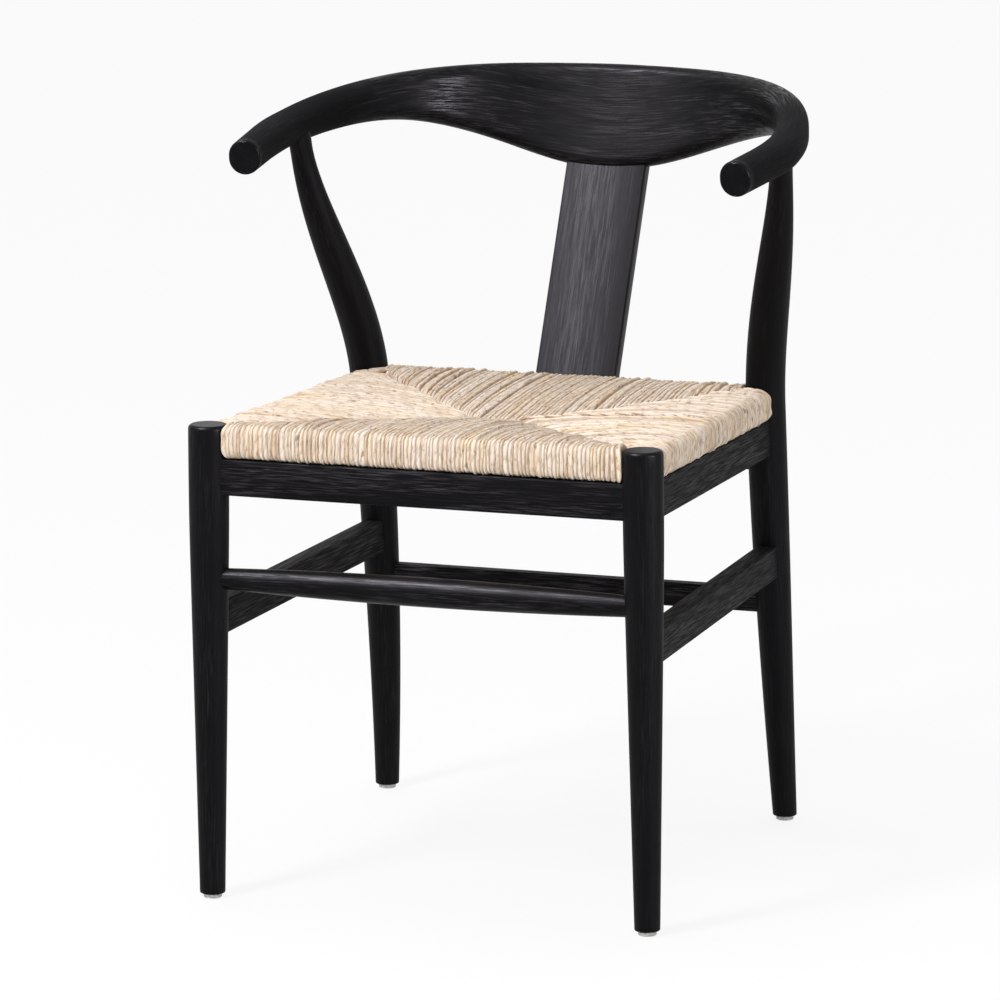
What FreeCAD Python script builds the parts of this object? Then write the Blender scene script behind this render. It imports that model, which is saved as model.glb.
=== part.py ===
"""Armchair with a bowed top rail, a plain back splat and a woven seat.

All sizes are in millimetres and degrees. The chair faces -Y, +X is on the right of someone looking
at its front, and +Z is up. The origin is on the floor, under the middle of the chair's outline.
"""
import FreeCAD
import Part
import Sketcher
import math
import os

Vec = FreeCAD.Vector
UP = Vec(0, 0, 1)
SIDES = {"left": -1, "right": 1}

SIZES = {
    # Whole chair
    "overall_width": 551.0,
    "overall_depth": 599.0,
    "overall_height": 739.0,
    # Turned front legs, tapered up to a straight neck and slightly splayed
    "front_leg_spread": 430.5,
    "front_foot_spread": 437.5,
    "front_leg_height": 460.0,
    "front_leg_dia": 38.4,
    "front_leg_foot_dia": 24.4,
    "front_leg_taper_length": 368.0,
    "front_leg_top_round": 4.0,
    # Shaped rear legs: a tapered shin up to the knee, then an S-bend out to the arm
    "rear_foot_spread": 425.5,
    "rear_foot_y": 176.6,
    "rear_foot_dia": 24.0,
    "rear_knee_spread": 415.0,
    "rear_knee_y": 126.5,
    "rear_knee_height": 430.0,
    "rear_knee_dia": 39.0,
    "rear_shin_bow_in": 2.5,
    "rear_shin_bow_back": 4.0,
    "rear_top_dia": 20.5,
    "rear_top_y": 43.0,
    "rear_top_cover": 0.2,
    "leg_tenon_dia": 12.0,
    "leg_tenon_length": 20.0,
    # Bow: back, quarter, corner, elbow, arm and tip are its stations from the middle to one end
    "bow_side_power": 2.8,
    "bow_back_power": 1.9,
    "bow_back_height": 107.0,
    "bow_back_thick": 22.0,
    "bow_back_lean": 18.0,
    "bow_quarter_height": 81.0,
    "bow_quarter_thick": 24.0,
    "bow_quarter_lean": 15.0,
    "bow_corner_height": 50.0,
    "bow_corner_thick": 28.5,
    "bow_corner_lean": 5.0,
    "bow_corner_drop": 3.5,
    "bow_elbow_height": 40.0,
    "bow_elbow_thick": 30.0,
    "bow_elbow_drop": 12.0,
    "bow_arm_height": 34.5,
    "bow_arm_thick": 37.0,
    "bow_arm_drop": 26.5,
    "bow_tip_height": 34.5,
    "bow_tip_thick": 31.5,
    "bow_tip_drop": 34.5,
    "bow_tip_inset": 9.5,
    "bow_tip_reach": 100.0,
    "bow_tip_rim": 2.5,
    "bow_roundness": 0.94,
    "bow_dowel_dia": 8.0,
    "bow_dowel_length": 36.0,
    "bow_dowel_pitch": 22.0,
    # Back splat
    "splat_width": 84.0,
    "splat_thick": 14.0,
    "splat_foot_setback": 3.0,
    "splat_scribe": 11.0,
    "splat_tongue_width": 60.0,
    "splat_tongue_thick": 8.0,
    "splat_tongue_length": 16.0,
    # Aprons under the seat
    "front_apron_z": 411.2,
    "front_apron_height": 34.4,
    "front_apron_thick": 20.0,
    "side_apron_front_z": 410.0,
    "side_apron_rear_z": 398.5,
    "side_apron_height": 36.0,
    "side_apron_thick": 17.0,
    "rear_apron_z": 382.0,
    "rear_apron_height": 36.0,
    "rear_apron_thick": 22.0,
    "rear_apron_setback": 5.0,
    "apron_edge_round": 1.5,
    "apron_tenon_thick": 8.0,
    "apron_tenon_height": 24.0,
    # Seat rails inside the weave
    "front_seat_rail_z": 446.5,
    "front_seat_rail_height": 20.0,
    "front_seat_rail_thick": 12.0,
    "side_seat_rail_front_z": 443.2,
    "side_seat_rail_rear_z": 431.7,
    "side_seat_rail_height": 17.0,
    "side_seat_rail_thick": 10.0,
    "rear_seat_rail_z": 430.5,
    "rear_seat_rail_height": 17.0,
    "rear_seat_rail_thick": 13.0,
    "seat_rail_edge_round": 4.0,
    # Woven seat: cord wound round the rails, in four panels that dip to a short middle seam
    "weave_thick": 5.5,
    "weave_gap": 0.3,
    "weave_leg_gap": 1.5,
    "weave_edge_round": 9.5,
    "seat_seam_length": 40.0,
    "seat_dip": 12.0,
    "seat_middle_thick": 20.0,
    "panel_sink": 1.0,
    # Stretchers
    "front_stretcher_z": 312.0,
    "front_stretcher_end_dia": 19.0,
    "front_stretcher_dia": 28.0,
    "front_stretcher_tenon_dia": 13.0,
    "side_stretcher_z": 271.5,
    "side_stretcher_height": 33.0,
    "side_stretcher_thick": 20.0,
    "rear_stretcher_z": 228.7,
    "rear_stretcher_height": 24.0,
    "rear_stretcher_thick": 15.0,
    "stretcher_edge_round": 2.0,
    "stretcher_tenon_thick": 7.0,
    "stretcher_tenon_height": 16.0,
    # Joints: tenons stop short of the leg's axis, and sockets are this much wider all round
    "tenon_stop": 6.0,
    "joint_gap": 0.15,
    # Foot glides, each held by one nail
    "glide_dia": 17.5,
    "glide_height": 4.5,
    "glide_edge_round": 1.2,
    "nail_dia": 2.4,
    "nail_length": 16.0,
    "nail_head_dia": 6.0,
    "nail_head_height": 1.0,
    "nail_sink": 0.6,
}

doc = FreeCAD.newDocument("bow_back_armchair")
sheet = doc.addObject("Spreadsheet::Sheet", "Sizes")
for row, (alias, number) in enumerate(SIZES.items(), start=1):
    sheet.set(f"A{row}", alias.replace("_", " "))
    sheet.set(f"B{row}", str(number))
    sheet.setAlias(f"B{row}", alias)
doc.recompute()

pieces = {}


def value(expression):
    """The number that an expression on the sheet gives."""
    return float(sheet.evalExpression(str(expression)))


def size(alias):
    """One named size."""
    return value(f"Sizes.{alias}")


# Sketches and features


def origin_plane(body, role):
    return next(feature for feature in body.Origin.OriginFeatures if feature.Role == role)


def new_sketch(body, name, role="XY_Plane", offset=None):
    """A sketch on one of its body's own planes, moved by an offset placement."""
    sketch = body.newObject("Sketcher::SketchObject", name)
    sketch.AttachmentSupport = [(origin_plane(body, role), "")]
    sketch.MapMode = "FlatFace"
    if offset is not None:
        sketch.AttachmentOffset = offset
    return sketch


def dimension(sketch, kind, *where, to):
    """A dimension that follows an expression."""
    index = sketch.addConstraint(Sketcher.Constraint(kind, *where, value(to)))
    sketch.setExpression(f"Constraints[{index}]", str(to))


def draw_outline(sketch, corners):
    """A closed outline of straight lines; each corner is a pair of expressions from the origin."""
    points = [Vec(value(across), value(along), 0) for across, along in corners]
    count = len(points)
    for index, point in enumerate(points):
        sketch.addGeometry(Part.LineSegment(point, points[(index + 1) % count]))
    for index in range(count):
        sketch.addConstraint(Sketcher.Constraint("Coincident", index, 2, (index + 1) % count, 1))
    for index, (across, along) in enumerate(corners):
        dimension(sketch, "DistanceX", -1, 1, index, 1, to=across)
        dimension(sketch, "DistanceY", -1, 1, index, 1, to=along)


def draw_rectangle(sketch, width, height):
    """A rectangle centred on the origin."""
    draw_outline(sketch, [(f"-({width}) / 2", f"-({height}) / 2"), (f"({width}) / 2", f"-({height}) / 2"),
                          (f"({width}) / 2", f"({height}) / 2"), (f"-({width}) / 2", f"({height}) / 2")])


def draw_circle(sketch, diameter):
    """A circle centred on the origin."""
    sketch.addGeometry(Part.Circle(Vec(), UP, value(diameter) / 2))
    sketch.addConstraint(Sketcher.Constraint("Coincident", 0, 3, -1, 1))
    dimension(sketch, "Diameter", 0, to=diameter)


def draw_rounded_rectangle(sketch, width, height, radius):
    """A rectangle centred on the origin, with four equal round corners: line, arc, line, arc and so on."""
    half_x, half_y, r = value(width) / 2, value(height) / 2, value(radius)
    flat_x, flat_y = half_x - r, half_y - r
    quarter = math.pi / 2
    lines = [(Vec(-flat_x, -half_y, 0), Vec(flat_x, -half_y, 0)),
             (Vec(half_x, -flat_y, 0), Vec(half_x, flat_y, 0)),
             (Vec(flat_x, half_y, 0), Vec(-flat_x, half_y, 0)),
             (Vec(-half_x, flat_y, 0), Vec(-half_x, -flat_y, 0))]
    quadrants = ((1, -1), (1, 1), (-1, 1), (-1, -1))
    centres = [Vec(across * flat_x, along * flat_y, 0) for across, along in quadrants]
    for index in range(4):
        sketch.addGeometry(Part.LineSegment(*lines[index]))
        start = (index - 1) * quarter
        sketch.addGeometry(Part.ArcOfCircle(Part.Circle(centres[index], UP, r), start, start + quarter))
    for line in (0, 2, 4, 6):
        sketch.addConstraint(Sketcher.Constraint("Tangent", line, 2, line + 1, 1))
        sketch.addConstraint(Sketcher.Constraint("Tangent", line + 1, 2, (line + 2) % 8, 1))
        sketch.addConstraint(Sketcher.Constraint("Horizontal" if line in (0, 4) else "Vertical", line))
    for arc in (3, 5, 7):
        sketch.addConstraint(Sketcher.Constraint("Equal", 1, arc))
    sketch.addConstraint(Sketcher.Constraint("Symmetric", 1, 3, 5, 3, -1, 1))
    dimension(sketch, "DistanceX", 6, 1, 2, 1, to=width)
    dimension(sketch, "DistanceY", 0, 1, 4, 2, to=height)
    dimension(sketch, "Radius", 1, to=radius)


def frame_along(point, direction, up=UP):
    """A placement at a point whose local Z runs along a direction and whose local Y leans to up."""
    return FreeCAD.Placement(point, FreeCAD.Rotation(Vec(), up, direction, "ZYX"))


def bar(name, start, end, thick, height, edge_round=None):
    """A straight bar of rectangular section between two points, its long edges rounded on request."""
    body = doc.addObject("PartDesign::Body", name)
    sketch = new_sketch(body, name + "_section")
    draw_rectangle(sketch, thick, height)
    pad = body.newObject("PartDesign::Pad", name + "_length")
    pad.Profile = sketch
    pad.Length = (end - start).Length
    if edge_round is not None:
        doc.recompute()
        fillet = body.newObject("PartDesign::Fillet", name + "_edges")
        long_edges = [f"Edge{number}" for number, edge in enumerate(pad.Shape.Edges, start=1)
                      if abs(edge.tangentAt(edge.FirstParameter).z) > 0.99]
        fillet.Base = (pad, long_edges)
        fillet.setExpression("Radius", str(edge_round))
    body.Placement = frame_along(start, end - start)
    return body


def rod(name, start, end, diameter):
    """A straight round rod between two points."""
    cylinder = doc.addObject("Part::Cylinder", name)
    cylinder.setExpression("Radius", f"({diameter}) / 2")
    cylinder.Height = (end - start).Length
    cylinder.Placement = frame_along(start, end - start, Vec(0, 1, 0))
    return cylinder


def is_rim(point, radius, height):
    """Whether a point lies on the circle of a given radius and height about the local Z."""
    near = 1e-4
    return abs(point.z - height) < near and abs(math.hypot(point.x, point.y) - radius) < near


def turned(name, corners, rounded_edges=()):
    """A body turned about its local Z from an outline of (radius, height) corners, some rims rounded.

    Each rounded rim is a pair: the rim's corner of the outline and its rounding.
    """
    body = doc.addObject("PartDesign::Body", name)
    sketch = new_sketch(body, name + "_outline", "XZ_Plane")
    draw_outline(sketch, corners)
    tip = body.newObject("PartDesign::Revolution", name + "_turning")
    tip.Profile = sketch
    tip.ReferenceAxis = (sketch, ["V_Axis"])
    tip.Angle = 360
    for index, ((rim_radius, rim_height), rounding) in enumerate(rounded_edges):
        doc.recompute()
        rims = [f"Edge{number}" for number, edge in enumerate(tip.Shape.Edges, start=1)
                if edge.isClosed() and is_rim(edge.Vertexes[0].Point, value(rim_radius), value(rim_height))]
        fillet = body.newObject("PartDesign::Fillet", f"{name}_rim_{index}")
        fillet.Base = (tip, rims)
        fillet.setExpression("Radius", str(rounding))
        tip = fillet
    return body


def group(name, members):
    compound = doc.addObject("Part::Compound", name)
    compound.Links = members
    return compound


def fuse(name, members):
    joined = doc.addObject("Part::MultiFuse", name)
    joined.Shapes = members
    return joined


def cut(name, base, tools):
    """A base with one or more tools taken out of it."""
    result = doc.addObject("Part::Cut", name)
    result.Base = base
    result.Tool = tools[0] if len(tools) == 1 else group(name + "_tools", tools)
    return result


def common(name, base, tool):
    result = doc.addObject("Part::Common", name)
    result.Base = base
    result.Tool = tool
    return result


def keep(node, feature):
    """Names a finished piece."""
    feature.Label = node
    pieces[node] = feature


def wider(expression):
    """A socket's size for a tenon's size."""
    return f"({expression}) + 2 * Sizes.joint_gap"


# Where the legs and the bow run

FRONT_LEG_Y = (size("front_leg_dia") - size("overall_depth")) / 2


def front_axis(side, z):
    """A point on a front leg's axis, a straight line that is a little wider at the foot."""
    share = (z - size("glide_height")) / (size("front_leg_height") - size("glide_height"))
    spread = size("front_foot_spread") + (size("front_leg_spread") - size("front_foot_spread")) * share
    return Vec(side * spread / 2, FRONT_LEG_Y, z)


def ease(share):
    """Goes from 0 to 1 with a level start and end."""
    return share * share * (3 - 2 * share)


BOW_STATIONS = ("back", "quarter", "corner", "elbow", "arm", "tip")
BOW_PLACES = (0, 1, 2, 3, 3.5, 4, 4.5, 5)
BOW_TURNS = {0: 0, 1: 17, 2: 41, 3: 63, 3.5: 76.5, 4: 90}
TIP_POWER = 1.3
CORNER, ARM, TIP = (BOW_STATIONS.index(station) for station in ("corner", "arm", "tip"))
ELBOW_TO_ARM = ARM - 0.5


def bow_size(place, what):
    """The expression for one of the bow's sizes; halfway between two stations it is their mean."""
    names = [f"bow_{BOW_STATIONS[index]}_{what}" for index in (math.floor(place), math.ceil(place))]
    terms = [f"Sizes.{name}" if name in SIZES else "0" for name in names]
    return f"(({terms[0]} + {terms[1]}) / 2)"


def bow_radius(place):
    """The rounding of the bow's edges: a share of half its thickness or height."""
    return f"Sizes.bow_roundness * min({bow_size(place, 'thick')}; {bow_size(place, 'height')}) / 2"


def bow_lean(place):
    return math.radians(value(bow_size(place, "lean")))


def bow_reach(place):
    """How far a leaning round-edged section reaches from its middle, upwards and outwards."""
    lean, r = bow_lean(place), value(bow_radius(place))
    flat_height = value(bow_size(place, "height")) / 2 - r
    flat_thick = value(bow_size(place, "thick")) / 2 - r
    upward = flat_height * math.cos(lean) + flat_thick * math.sin(lean) + r
    outward = flat_height * math.sin(lean) + flat_thick * math.cos(lean) + r
    return upward, outward


BOW_HALF_WIDTH = (size("overall_width") - size("bow_arm_thick")) / 2
BOW_DEPTH = size("overall_depth") / 2 - bow_reach(0)[1]


def bow_middle(place, side):
    """The middle of the bow's section at a place.

    From back to arm the plan is a quarter of a superellipse, x = a sin(t)^(2/m) and y = b cos(t)^(2/n),
    at the turns t in BOW_TURNS. From arm to tip it bends in by a power of the way along.
    """
    z = size("overall_height") - value(bow_size(place, "drop")) - bow_reach(place)[0]
    if place > ARM:
        along = (place - ARM) / (TIP - ARM)
        x = BOW_HALF_WIDTH - size("bow_tip_inset") * along ** TIP_POWER
        return Vec(side * x, -size("bow_tip_reach") * along, z)
    turn = math.radians(BOW_TURNS[place])
    across = BOW_HALF_WIDTH * math.sin(turn) ** (2 / size("bow_side_power"))
    return Vec(side * across, BOW_DEPTH * math.cos(turn) ** (2 / size("bow_back_power")), z)


bow_row = [(place, -1) for place in BOW_PLACES[:0:-1]] + [(place, 1) for place in BOW_PLACES]
bow_points = [bow_middle(place, side) for place, side in bow_row]
bow_line = Part.BSplineCurve()
bow_line.interpolate(bow_points)


def bow_tangent(point):
    """The bow's direction, from its left end to its right end, beside a point."""
    return Vec(*bow_line.tangent(bow_line.parameter(point))[0])


def rear_top(side):
    """Where a rear leg's axis ends: in the middle of the arm's height, with the leg's inner side covered
    by the arm's inner face.
    """
    near = Vec(side * BOW_HALF_WIDTH, size("rear_top_y"), bow_middle(ARM, side).z)
    on_bow = bow_line.value(bow_line.parameter(near))
    arm_half = value(bow_size(ELBOW_TO_ARM, "thick")) / 2
    return on_bow - Vec(side * (arm_half - size("rear_top_cover") - size("rear_top_dia") / 2), 0, 0)


def rear_axis(side, z):
    """A point on a rear leg's axis.

    The shin is a straight line with a slight bow, and above the knee the same line goes on while
    an eased step carries it out to the arm.
    """
    foot = Vec(side * size("rear_foot_spread") / 2, size("rear_foot_y"), size("glide_height"))
    knee = Vec(side * size("rear_knee_spread") / 2, size("rear_knee_y"), size("rear_knee_height"))
    share = (z - foot.z) / (knee.z - foot.z)
    if share <= 1:
        bulge = 4 * share * (1 - share)
        bow = Vec(-side * size("rear_shin_bow_in"), size("rear_shin_bow_back"), 0) * bulge
        return foot + (knee - foot) * share + bow
    top = rear_top(side)
    rise = (z - knee.z) / (top.z - knee.z)
    slope = (knee.y - foot.y) / (knee.z - foot.z)
    ahead = slope * (z - knee.z)
    whole = slope * (top.z - knee.z)
    step = Vec(top.x - knee.x, top.y - knee.y - whole, 0) * ease(rise)
    return Vec(knee.x, knee.y + ahead, z) + step


def rear_direction(side, z):
    step = 1.0
    return (rear_axis(side, z + step) - rear_axis(side, z - step)).normalize()


# Blanks, before their joints are cut


def front_leg_blank(name, side):
    """A turned leg: a long taper, a straight neck and a rounded top. Its foot is cut level later."""
    foot = "-Sizes.glide_height"
    taper_top = "Sizes.front_leg_taper_length"
    top = "Sizes.front_leg_height - Sizes.glide_height"
    leg = turned(name, [("0", foot), ("Sizes.front_leg_foot_dia / 2", foot),
                        ("Sizes.front_leg_foot_dia / 2", "0"), ("Sizes.front_leg_dia / 2", taper_top),
                        ("Sizes.front_leg_dia / 2", top), ("0", top)],
                 [(("Sizes.front_leg_dia / 2", top), "Sizes.front_leg_top_round")])
    low, high = front_axis(side, size("glide_height")), front_axis(side, size("front_leg_height"))
    leg.Placement = frame_along(low, high - low, Vec(0, 1, 0))
    return leg


def loft(body, name, sections, ruled=False):
    feature = body.newObject("PartDesign::AdditiveLoft", name)
    feature.Profile = sections[0]
    feature.Sections = sections[1:]
    feature.Ruled = ruled
    return feature


SHIN_SHARES = (0.0, 1 / 3, 2 / 3)
BEND_SHARES = (0.0, 0.2, 0.4, 0.6, 0.8, 1.0)
NECK_POWER = 1.8


def rear_leg_blank(name, side):
    """A round leg lofted along its axis: it swells up the shin and thins towards the arm.

    Its seam is on the outer back of the leg, away from every joint.
    """
    body = doc.addObject("PartDesign::Body", name)
    foot_z, knee_z, top_z = size("glide_height"), size("rear_knee_height"), rear_top(side).z
    rows = []
    for share in SHIN_SHARES:
        swell = math.sin(share * math.pi / 2)
        rows.append((foot_z + (knee_z - foot_z) * share,
                     f"Sizes.rear_foot_dia + (Sizes.rear_knee_dia - Sizes.rear_foot_dia) * {swell:.6f}"))
    for share in BEND_SHARES:
        thin = ease(share ** NECK_POWER)
        rows.append((knee_z + (top_z - knee_z) * share,
                     f"Sizes.rear_knee_dia + (Sizes.rear_top_dia - Sizes.rear_knee_dia) * {thin:.6f}"))
    seam_side = Vec(-1, side, 0)
    sections = []
    for index, (z, diameter) in enumerate(rows):
        direction = UP if index == 0 else rear_direction(side, z)
        sketch = new_sketch(body, f"{name}_section_{index}", "XY_Plane",
                            frame_along(rear_axis(side, z), direction, seam_side))
        draw_circle(sketch, diameter)
        sections.append(sketch)
    loft(body, name + "_loft", sections)
    return body


def bow_section(body, name, place, point, direction, shrink="0"):
    """One section across the bow, leaning outwards at its top."""
    outward = UP.cross(direction).normalize()
    square_up = direction.cross(outward)
    lean = bow_lean(place)
    leaning_up = square_up * math.cos(lean) + outward * math.sin(lean)
    sketch = new_sketch(body, name, "XY_Plane", frame_along(point, direction, leaning_up))
    draw_rounded_rectangle(sketch, f"{bow_size(place, 'thick')} - 2 * {shrink}",
                           f"{bow_size(place, 'height')} - 2 * {shrink}", f"{bow_radius(place)} - {shrink}")
    return sketch


def bow_blank(name):
    """The whole bow, from one arm's tip round the back to the other, with a bevelled rim on each tip."""
    body = doc.addObject("PartDesign::Body", name)
    sections = []
    for number, ((place, side), point) in enumerate(zip(bow_row, bow_points)):
        sections.append(bow_section(body, f"{name}_section_{number}", place, point, bow_tangent(point)))
    loft(body, name + "_loft", sections)
    rim = size("bow_tip_rim")
    for end, point, way in (("left", bow_points[0], -1), ("right", bow_points[-1], 1)):
        direction = bow_tangent(point)
        face = bow_section(body, f"{name}_{end}_face", TIP, point + direction * (way * rim), direction,
                           "Sizes.bow_tip_rim")
        loft(body, f"{name}_{end}_rim", [sections[0] if way < 0 else sections[-1], face], ruled=True)
    return body


bow = bow_blank("bow_blank")
front_legs = {name: front_leg_blank(f"front_leg_{name}_blank", side) for name, side in SIDES.items()}
rear_legs = {name: rear_leg_blank(f"rear_leg_{name}_blank", side) for name, side in SIDES.items()}
front_sockets = {name: [] for name in SIDES}
rear_sockets = {name: [] for name in SIDES}


# Rails between the legs


def inset(start, end):
    """The two points where a rail's tenons stop, short of the legs' axes."""
    step = (end - start).normalize() * size("tenon_stop")
    return start + step, end - step


def socket_ends(start, end):
    """The same points with the end clearance of a socket."""
    gap = (end - start).normalize() * size("joint_gap")
    return start - gap, end + gap


def tenoned_rail(node, start, end, section, edge_round, tenon, legs):
    """A rail of rectangular section, scribed to both legs, with a tenon at each end.

    Gives the tool that cuts its sockets.
    """
    stock = bar(node + "_stock", start, end, *section, edge_round)
    scribed = cut(node + "_scribed", stock, legs)
    first, second = inset(start, end)
    tenons = bar(node + "_tenons", first, second, *tenon)
    keep(node, fuse(node, [scribed, tenons]))
    return bar(node + "_sockets", *socket_ends(first, second), *[wider(side) for side in tenon])


def housed_rail(node, start, end, section):
    """A rail whose whole section is let into both legs. Gives the tool that cuts its sockets."""
    first, second = inset(start, end)
    keep(node, bar(node, first, second, *section, "Sizes.seat_rail_edge_round"))
    return bar(node + "_sockets", *socket_ends(first, second), *[wider(side) for side in section])


def section_of(rail):
    return f"Sizes.{rail}_thick", f"Sizes.{rail}_height"


APRON_TENON = ("Sizes.apron_tenon_thick", "Sizes.apron_tenon_height")
STRETCHER_TENON = ("Sizes.stretcher_tenon_thick", "Sizes.stretcher_tenon_height")


def across_front(z):
    return front_axis(-1, z), front_axis(1, z)


def across_rear(z, setback=0.0):
    back = Vec(0, setback, 0)
    return rear_axis(-1, z) + back, rear_axis(1, z) + back


# Front pieces

both_front = list(front_legs.values())
both_rear = list(rear_legs.values())

tool = tenoned_rail("front_apron", *across_front(size("front_apron_z")), section_of("front_apron"),
                    "Sizes.apron_edge_round", APRON_TENON, both_front)
for name in SIDES:
    front_sockets[name].append(tool)

front_seat_rail_ends = across_front(size("front_seat_rail_z"))
tool = housed_rail("front_seat_rail", *front_seat_rail_ends, section_of("front_seat_rail"))
for name in SIDES:
    front_sockets[name].append(tool)


def barrel(name, start, end, end_diameter, middle_diameter):
    """A turned bar whose outline is one shallow arc, thickest in its middle."""
    body = doc.addObject("PartDesign::Body", name)
    sketch = new_sketch(body, name + "_outline", "XZ_Plane")
    length = (end - start).Length
    rise = f"(({middle_diameter}) - ({end_diameter})) / 2"
    r_end, r_middle = value(end_diameter) / 2, value(middle_diameter) / 2
    sketch.addGeometry(Part.Arc(Vec(r_end, 0, 0), Vec(r_middle, length / 2, 0), Vec(r_end, length, 0)))
    corners = [Vec(r_end, length, 0), Vec(0, length, 0), Vec(0, 0, 0), Vec(r_end, 0, 0)]
    for first, second in zip(corners, corners[1:]):
        sketch.addGeometry(Part.LineSegment(first, second))
    sketch.addConstraint(Sketcher.Constraint("Coincident", 0, 2, 1, 1))
    sketch.addConstraint(Sketcher.Constraint("Coincident", 1, 2, 2, 1))
    sketch.addConstraint(Sketcher.Constraint("Coincident", 2, 2, 3, 1))
    sketch.addConstraint(Sketcher.Constraint("Coincident", 3, 2, 0, 1))
    sketch.addConstraint(Sketcher.Constraint("Coincident", 2, 2, -1, 1))
    sketch.addConstraint(Sketcher.Constraint("Horizontal", 1))
    sketch.addConstraint(Sketcher.Constraint("Vertical", 2))
    sketch.addConstraint(Sketcher.Constraint("Horizontal", 3))
    dimension(sketch, "DistanceY", 3, 1, 1, 1, to=f"{length:.6f}")
    dimension(sketch, "DistanceX", 2, 2, 0, 1, to=f"({end_diameter}) / 2")
    dimension(sketch, "Radius", 0, to=f"({length:.6f} ^ 2 / 4 + ({rise}) ^ 2) / (2 * ({rise}))")
    turning = body.newObject("PartDesign::Revolution", name + "_turning")
    turning.Profile = sketch
    turning.ReferenceAxis = (sketch, ["V_Axis"])
    turning.Angle = 360
    body.Placement = frame_along(start, end - start)
    return body


start, end = across_front(size("front_stretcher_z"))
stock = barrel("front_stretcher_stock", start, end,
               "Sizes.front_stretcher_end_dia", "Sizes.front_stretcher_dia")
scribed = cut("front_stretcher_scribed", stock, both_front)
first, second = inset(start, end)
tenons = rod("front_stretcher_tenons", first, second, "Sizes.front_stretcher_tenon_dia")
keep("front_stretcher", fuse("front_stretcher", [scribed, tenons]))
tool = rod("front_stretcher_sockets", *socket_ends(first, second), wider("Sizes.front_stretcher_tenon_dia"))
for name in SIDES:
    front_sockets[name].append(tool)

# Rear pieces

rear_apron_ends = across_rear(size("rear_apron_z"), size("rear_apron_setback"))
tool = tenoned_rail("rear_apron_plain", *rear_apron_ends, section_of("rear_apron"),
                    "Sizes.apron_edge_round", APRON_TENON, both_rear)
rear_apron_plain = pieces.pop("rear_apron_plain")
for name in SIDES:
    rear_sockets[name].append(tool)

rear_seat_rail_ends = across_rear(size("rear_seat_rail_z"))
tool = housed_rail("rear_seat_rail", *rear_seat_rail_ends, section_of("rear_seat_rail"))
for name in SIDES:
    rear_sockets[name].append(tool)

tool = tenoned_rail("rear_stretcher", *across_rear(size("rear_stretcher_z")), section_of("rear_stretcher"),
                    "Sizes.stretcher_edge_round", STRETCHER_TENON, both_rear)
for name in SIDES:
    rear_sockets[name].append(tool)

# Side pieces

side_seat_rail_ends = {}
for name, side in SIDES.items():
    legs = [front_legs[name], rear_legs[name]]
    start = front_axis(side, size("side_apron_front_z"))
    end = rear_axis(side, size("side_apron_rear_z"))
    apron_tool = tenoned_rail(f"{name}_apron", start, end, section_of("side_apron"), "Sizes.apron_edge_round",
                              APRON_TENON, legs)
    start = front_axis(side, size("side_seat_rail_front_z"))
    end = rear_axis(side, size("side_seat_rail_rear_z"))
    side_seat_rail_ends[name] = (start, end)
    seat_tool = housed_rail(f"{name}_seat_rail", start, end, section_of("side_seat_rail"))
    start = front_axis(side, size("side_stretcher_z"))
    end = rear_axis(side, size("side_stretcher_z"))
    stretcher_tool = tenoned_rail(f"{name}_stretcher", start, end, section_of("side_stretcher"),
                                  "Sizes.stretcher_edge_round", STRETCHER_TENON, legs)
    front_sockets[name] += [apron_tool, seat_tool, stretcher_tool]
    rear_sockets[name] += [apron_tool, seat_tool, stretcher_tool]

# Back splat, between the rear apron and the bow

splat_foot = (rear_apron_ends[0] + rear_apron_ends[1]) / 2 + Vec(0, size("splat_foot_setback"),
                                                                  size("rear_apron_height") / 2)
back_middle = bow_middle(0, 1)
back_lean = bow_lean(0)
bow_half_height = size("bow_back_height") / 2
splat_head = back_middle - Vec(0, math.sin(back_lean), math.cos(back_lean)) * bow_half_height
splat_way = (splat_head - splat_foot).normalize()


def leaning_board(name, low, high, width, thick):
    """A board that leans with the splat and is cut level at both ends."""
    body = doc.addObject("PartDesign::Body", name)
    sketch = new_sketch(body, name + "_profile", "YZ_Plane")
    level_half = f"({thick}) / 2 / {splat_way.z:.9f}"
    draw_outline(sketch, [(f"{low.y:.6f} - {level_half}", f"{low.z:.6f}"),
                          (f"{low.y:.6f} + {level_half}", f"{low.z:.6f}"),
                          (f"{high.y:.6f} + {level_half}", f"{high.z:.6f}"),
                          (f"{high.y:.6f} - {level_half}", f"{high.z:.6f}")])
    pad = body.newObject("PartDesign::Pad", name + "_width")
    pad.Profile = sketch
    pad.setExpression("Length", width)
    pad.SideType = "Symmetric"
    return body


tongue = splat_way * size("splat_tongue_length")
splat_stock = leaning_board("back_splat_stock", splat_foot, splat_head + splat_way * size("splat_scribe"),
                            "Sizes.splat_width", "Sizes.splat_thick")
splat_scribed = cut("back_splat_scribed", splat_stock, [bow])
splat_tongues = leaning_board("back_splat_tongues", splat_foot - tongue, splat_head + tongue,
                              "Sizes.splat_tongue_width", "Sizes.splat_tongue_thick")
keep("back_splat", fuse("back_splat", [splat_scribed, splat_tongues]))
end_gap = splat_way * size("joint_gap")
splat_socket = leaning_board("back_splat_sockets",
                             splat_foot - tongue - end_gap, splat_head + tongue + end_gap,
                             wider("Sizes.splat_tongue_width"), wider("Sizes.splat_tongue_thick"))
keep("rear_apron", cut("rear_apron", rear_apron_plain, [splat_socket]))

# Bow: a back rail and two arms, dowelled together at the corners

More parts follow.
